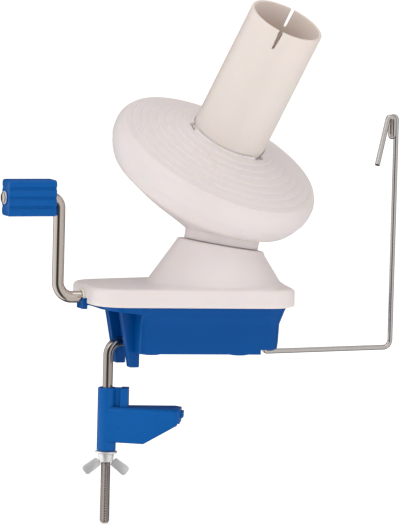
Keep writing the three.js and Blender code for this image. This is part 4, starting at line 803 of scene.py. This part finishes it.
# Surround: an even pale light for matt surfaces and, only for what the gloss mirrors, a ring of bright
# panels and darker gaps under a grey ceiling. Each stop is a share of the turn and its light.
PANEL_TURN = math.radians(111)
PANELS = [(0.0, 0.04), (0.12, 0.04), (0.16, 1.3), (0.37, 1.1), (0.43, 0.07), (0.51, 0.07), (0.57, 0.95),
          (0.77, 0.85), (0.82, 0.1), (0.89, 0.08), (0.93, 0.4), (0.97, 0.3), (1.0, 0.04)]
CEILING_FROM, CEILING_FULL, CEILING_LIGHT = 0.45, 0.8, 0.7
EVEN_LIGHT, EVEN_TONE = 0.78, (1, 0.99, 0.98, 1)
world = bpy.data.worlds.new("studio")
bpy.context.scene.world = world
world.use_nodes = True
nodes, links = world.node_tree.nodes, world.node_tree.links
where = nodes.new("ShaderNodeTexCoord")
turn_round = nodes.new("ShaderNodeMapping")
turn_round.inputs["Rotation"].default_value = (0, 0, PANEL_TURN)
links.new(where.outputs["Generated"], turn_round.inputs["Vector"])
bearing_of = nodes.new("ShaderNodeTexGradient")
bearing_of.gradient_type = "RADIAL"
links.new(turn_round.outputs["Vector"], bearing_of.inputs["Vector"])
panels = nodes.new("ShaderNodeValToRGB")
panels.color_ramp.interpolation = "EASE"
while len(panels.color_ramp.elements) < len(PANELS):
    panels.color_ramp.elements.new(0.5)
for element, (position, light) in zip(panels.color_ramp.elements, PANELS):
    element.position, element.color = position, (light, light, light, 1)
links.new(bearing_of.outputs["Fac"], panels.inputs["Fac"])
split = nodes.new("ShaderNodeSeparateXYZ")
links.new(where.outputs["Generated"], split.inputs["Vector"])
height_share = nodes.new("ShaderNodeMapRange")
height_share.inputs["From Min"].default_value = CEILING_FROM
height_share.inputs["From Max"].default_value = CEILING_FULL
links.new(split.outputs["Z"], height_share.inputs["Value"])
ceiling = nodes.new("ShaderNodeMix")
ceiling.data_type = "RGBA"
ceiling.inputs["B"].default_value = (CEILING_LIGHT, CEILING_LIGHT, CEILING_LIGHT, 1)
links.new(height_share.outputs["Result"], ceiling.inputs["Factor"])
links.new(panels.outputs["Color"], ceiling.inputs["A"])
links.new(ceiling.outputs["Result"], nodes["Background"].inputs["Color"])
even = nodes.new("ShaderNodeBackground")
even.inputs["Color"].default_value = EVEN_TONE
even.inputs["Strength"].default_value = EVEN_LIGHT
path = nodes.new("ShaderNodeLightPath")
pick = nodes.new("ShaderNodeMixShader")
links.new(path.outputs["Is Glossy Ray"], pick.inputs[0])
links.new(even.outputs["Background"], pick.inputs[1])
links.new(nodes["Background"].outputs["Background"], pick.inputs[2])
links.new(pick.outputs["Shader"], nodes["World Output"].inputs["Surface"])

# Lamps: three soft boxes, the main one high on the left, a large weak one in front and one above.


def soft_light(name, place, width, height, power, aim_at=(0, 0, 0.05)):
    """A soft box: an area light at a place in metres, its back turned away from the point it lights."""
    data = bpy.data.lights.new(name, "AREA")
    data.shape, data.size, data.size_y, data.energy = "RECTANGLE", width, height, power
    facing = frame_at(place, np.array(place) - np.array(aim_at), (1, 0, 0.01))
    stand(bpy.data.objects.new(name, data), *facing[1], place)


soft_light("key", (-1.3, -0.7, 1.3), 1.2, 1.0, 4.5)
soft_light("fill", (0.6, -1.8, 0.6), 1.2, 1.2, 0.5)
soft_light("top", (0.1, -0.4, 1.6), 0.9, 0.9, 3)
bpy.context.scene.view_settings.view_transform = "Standard"
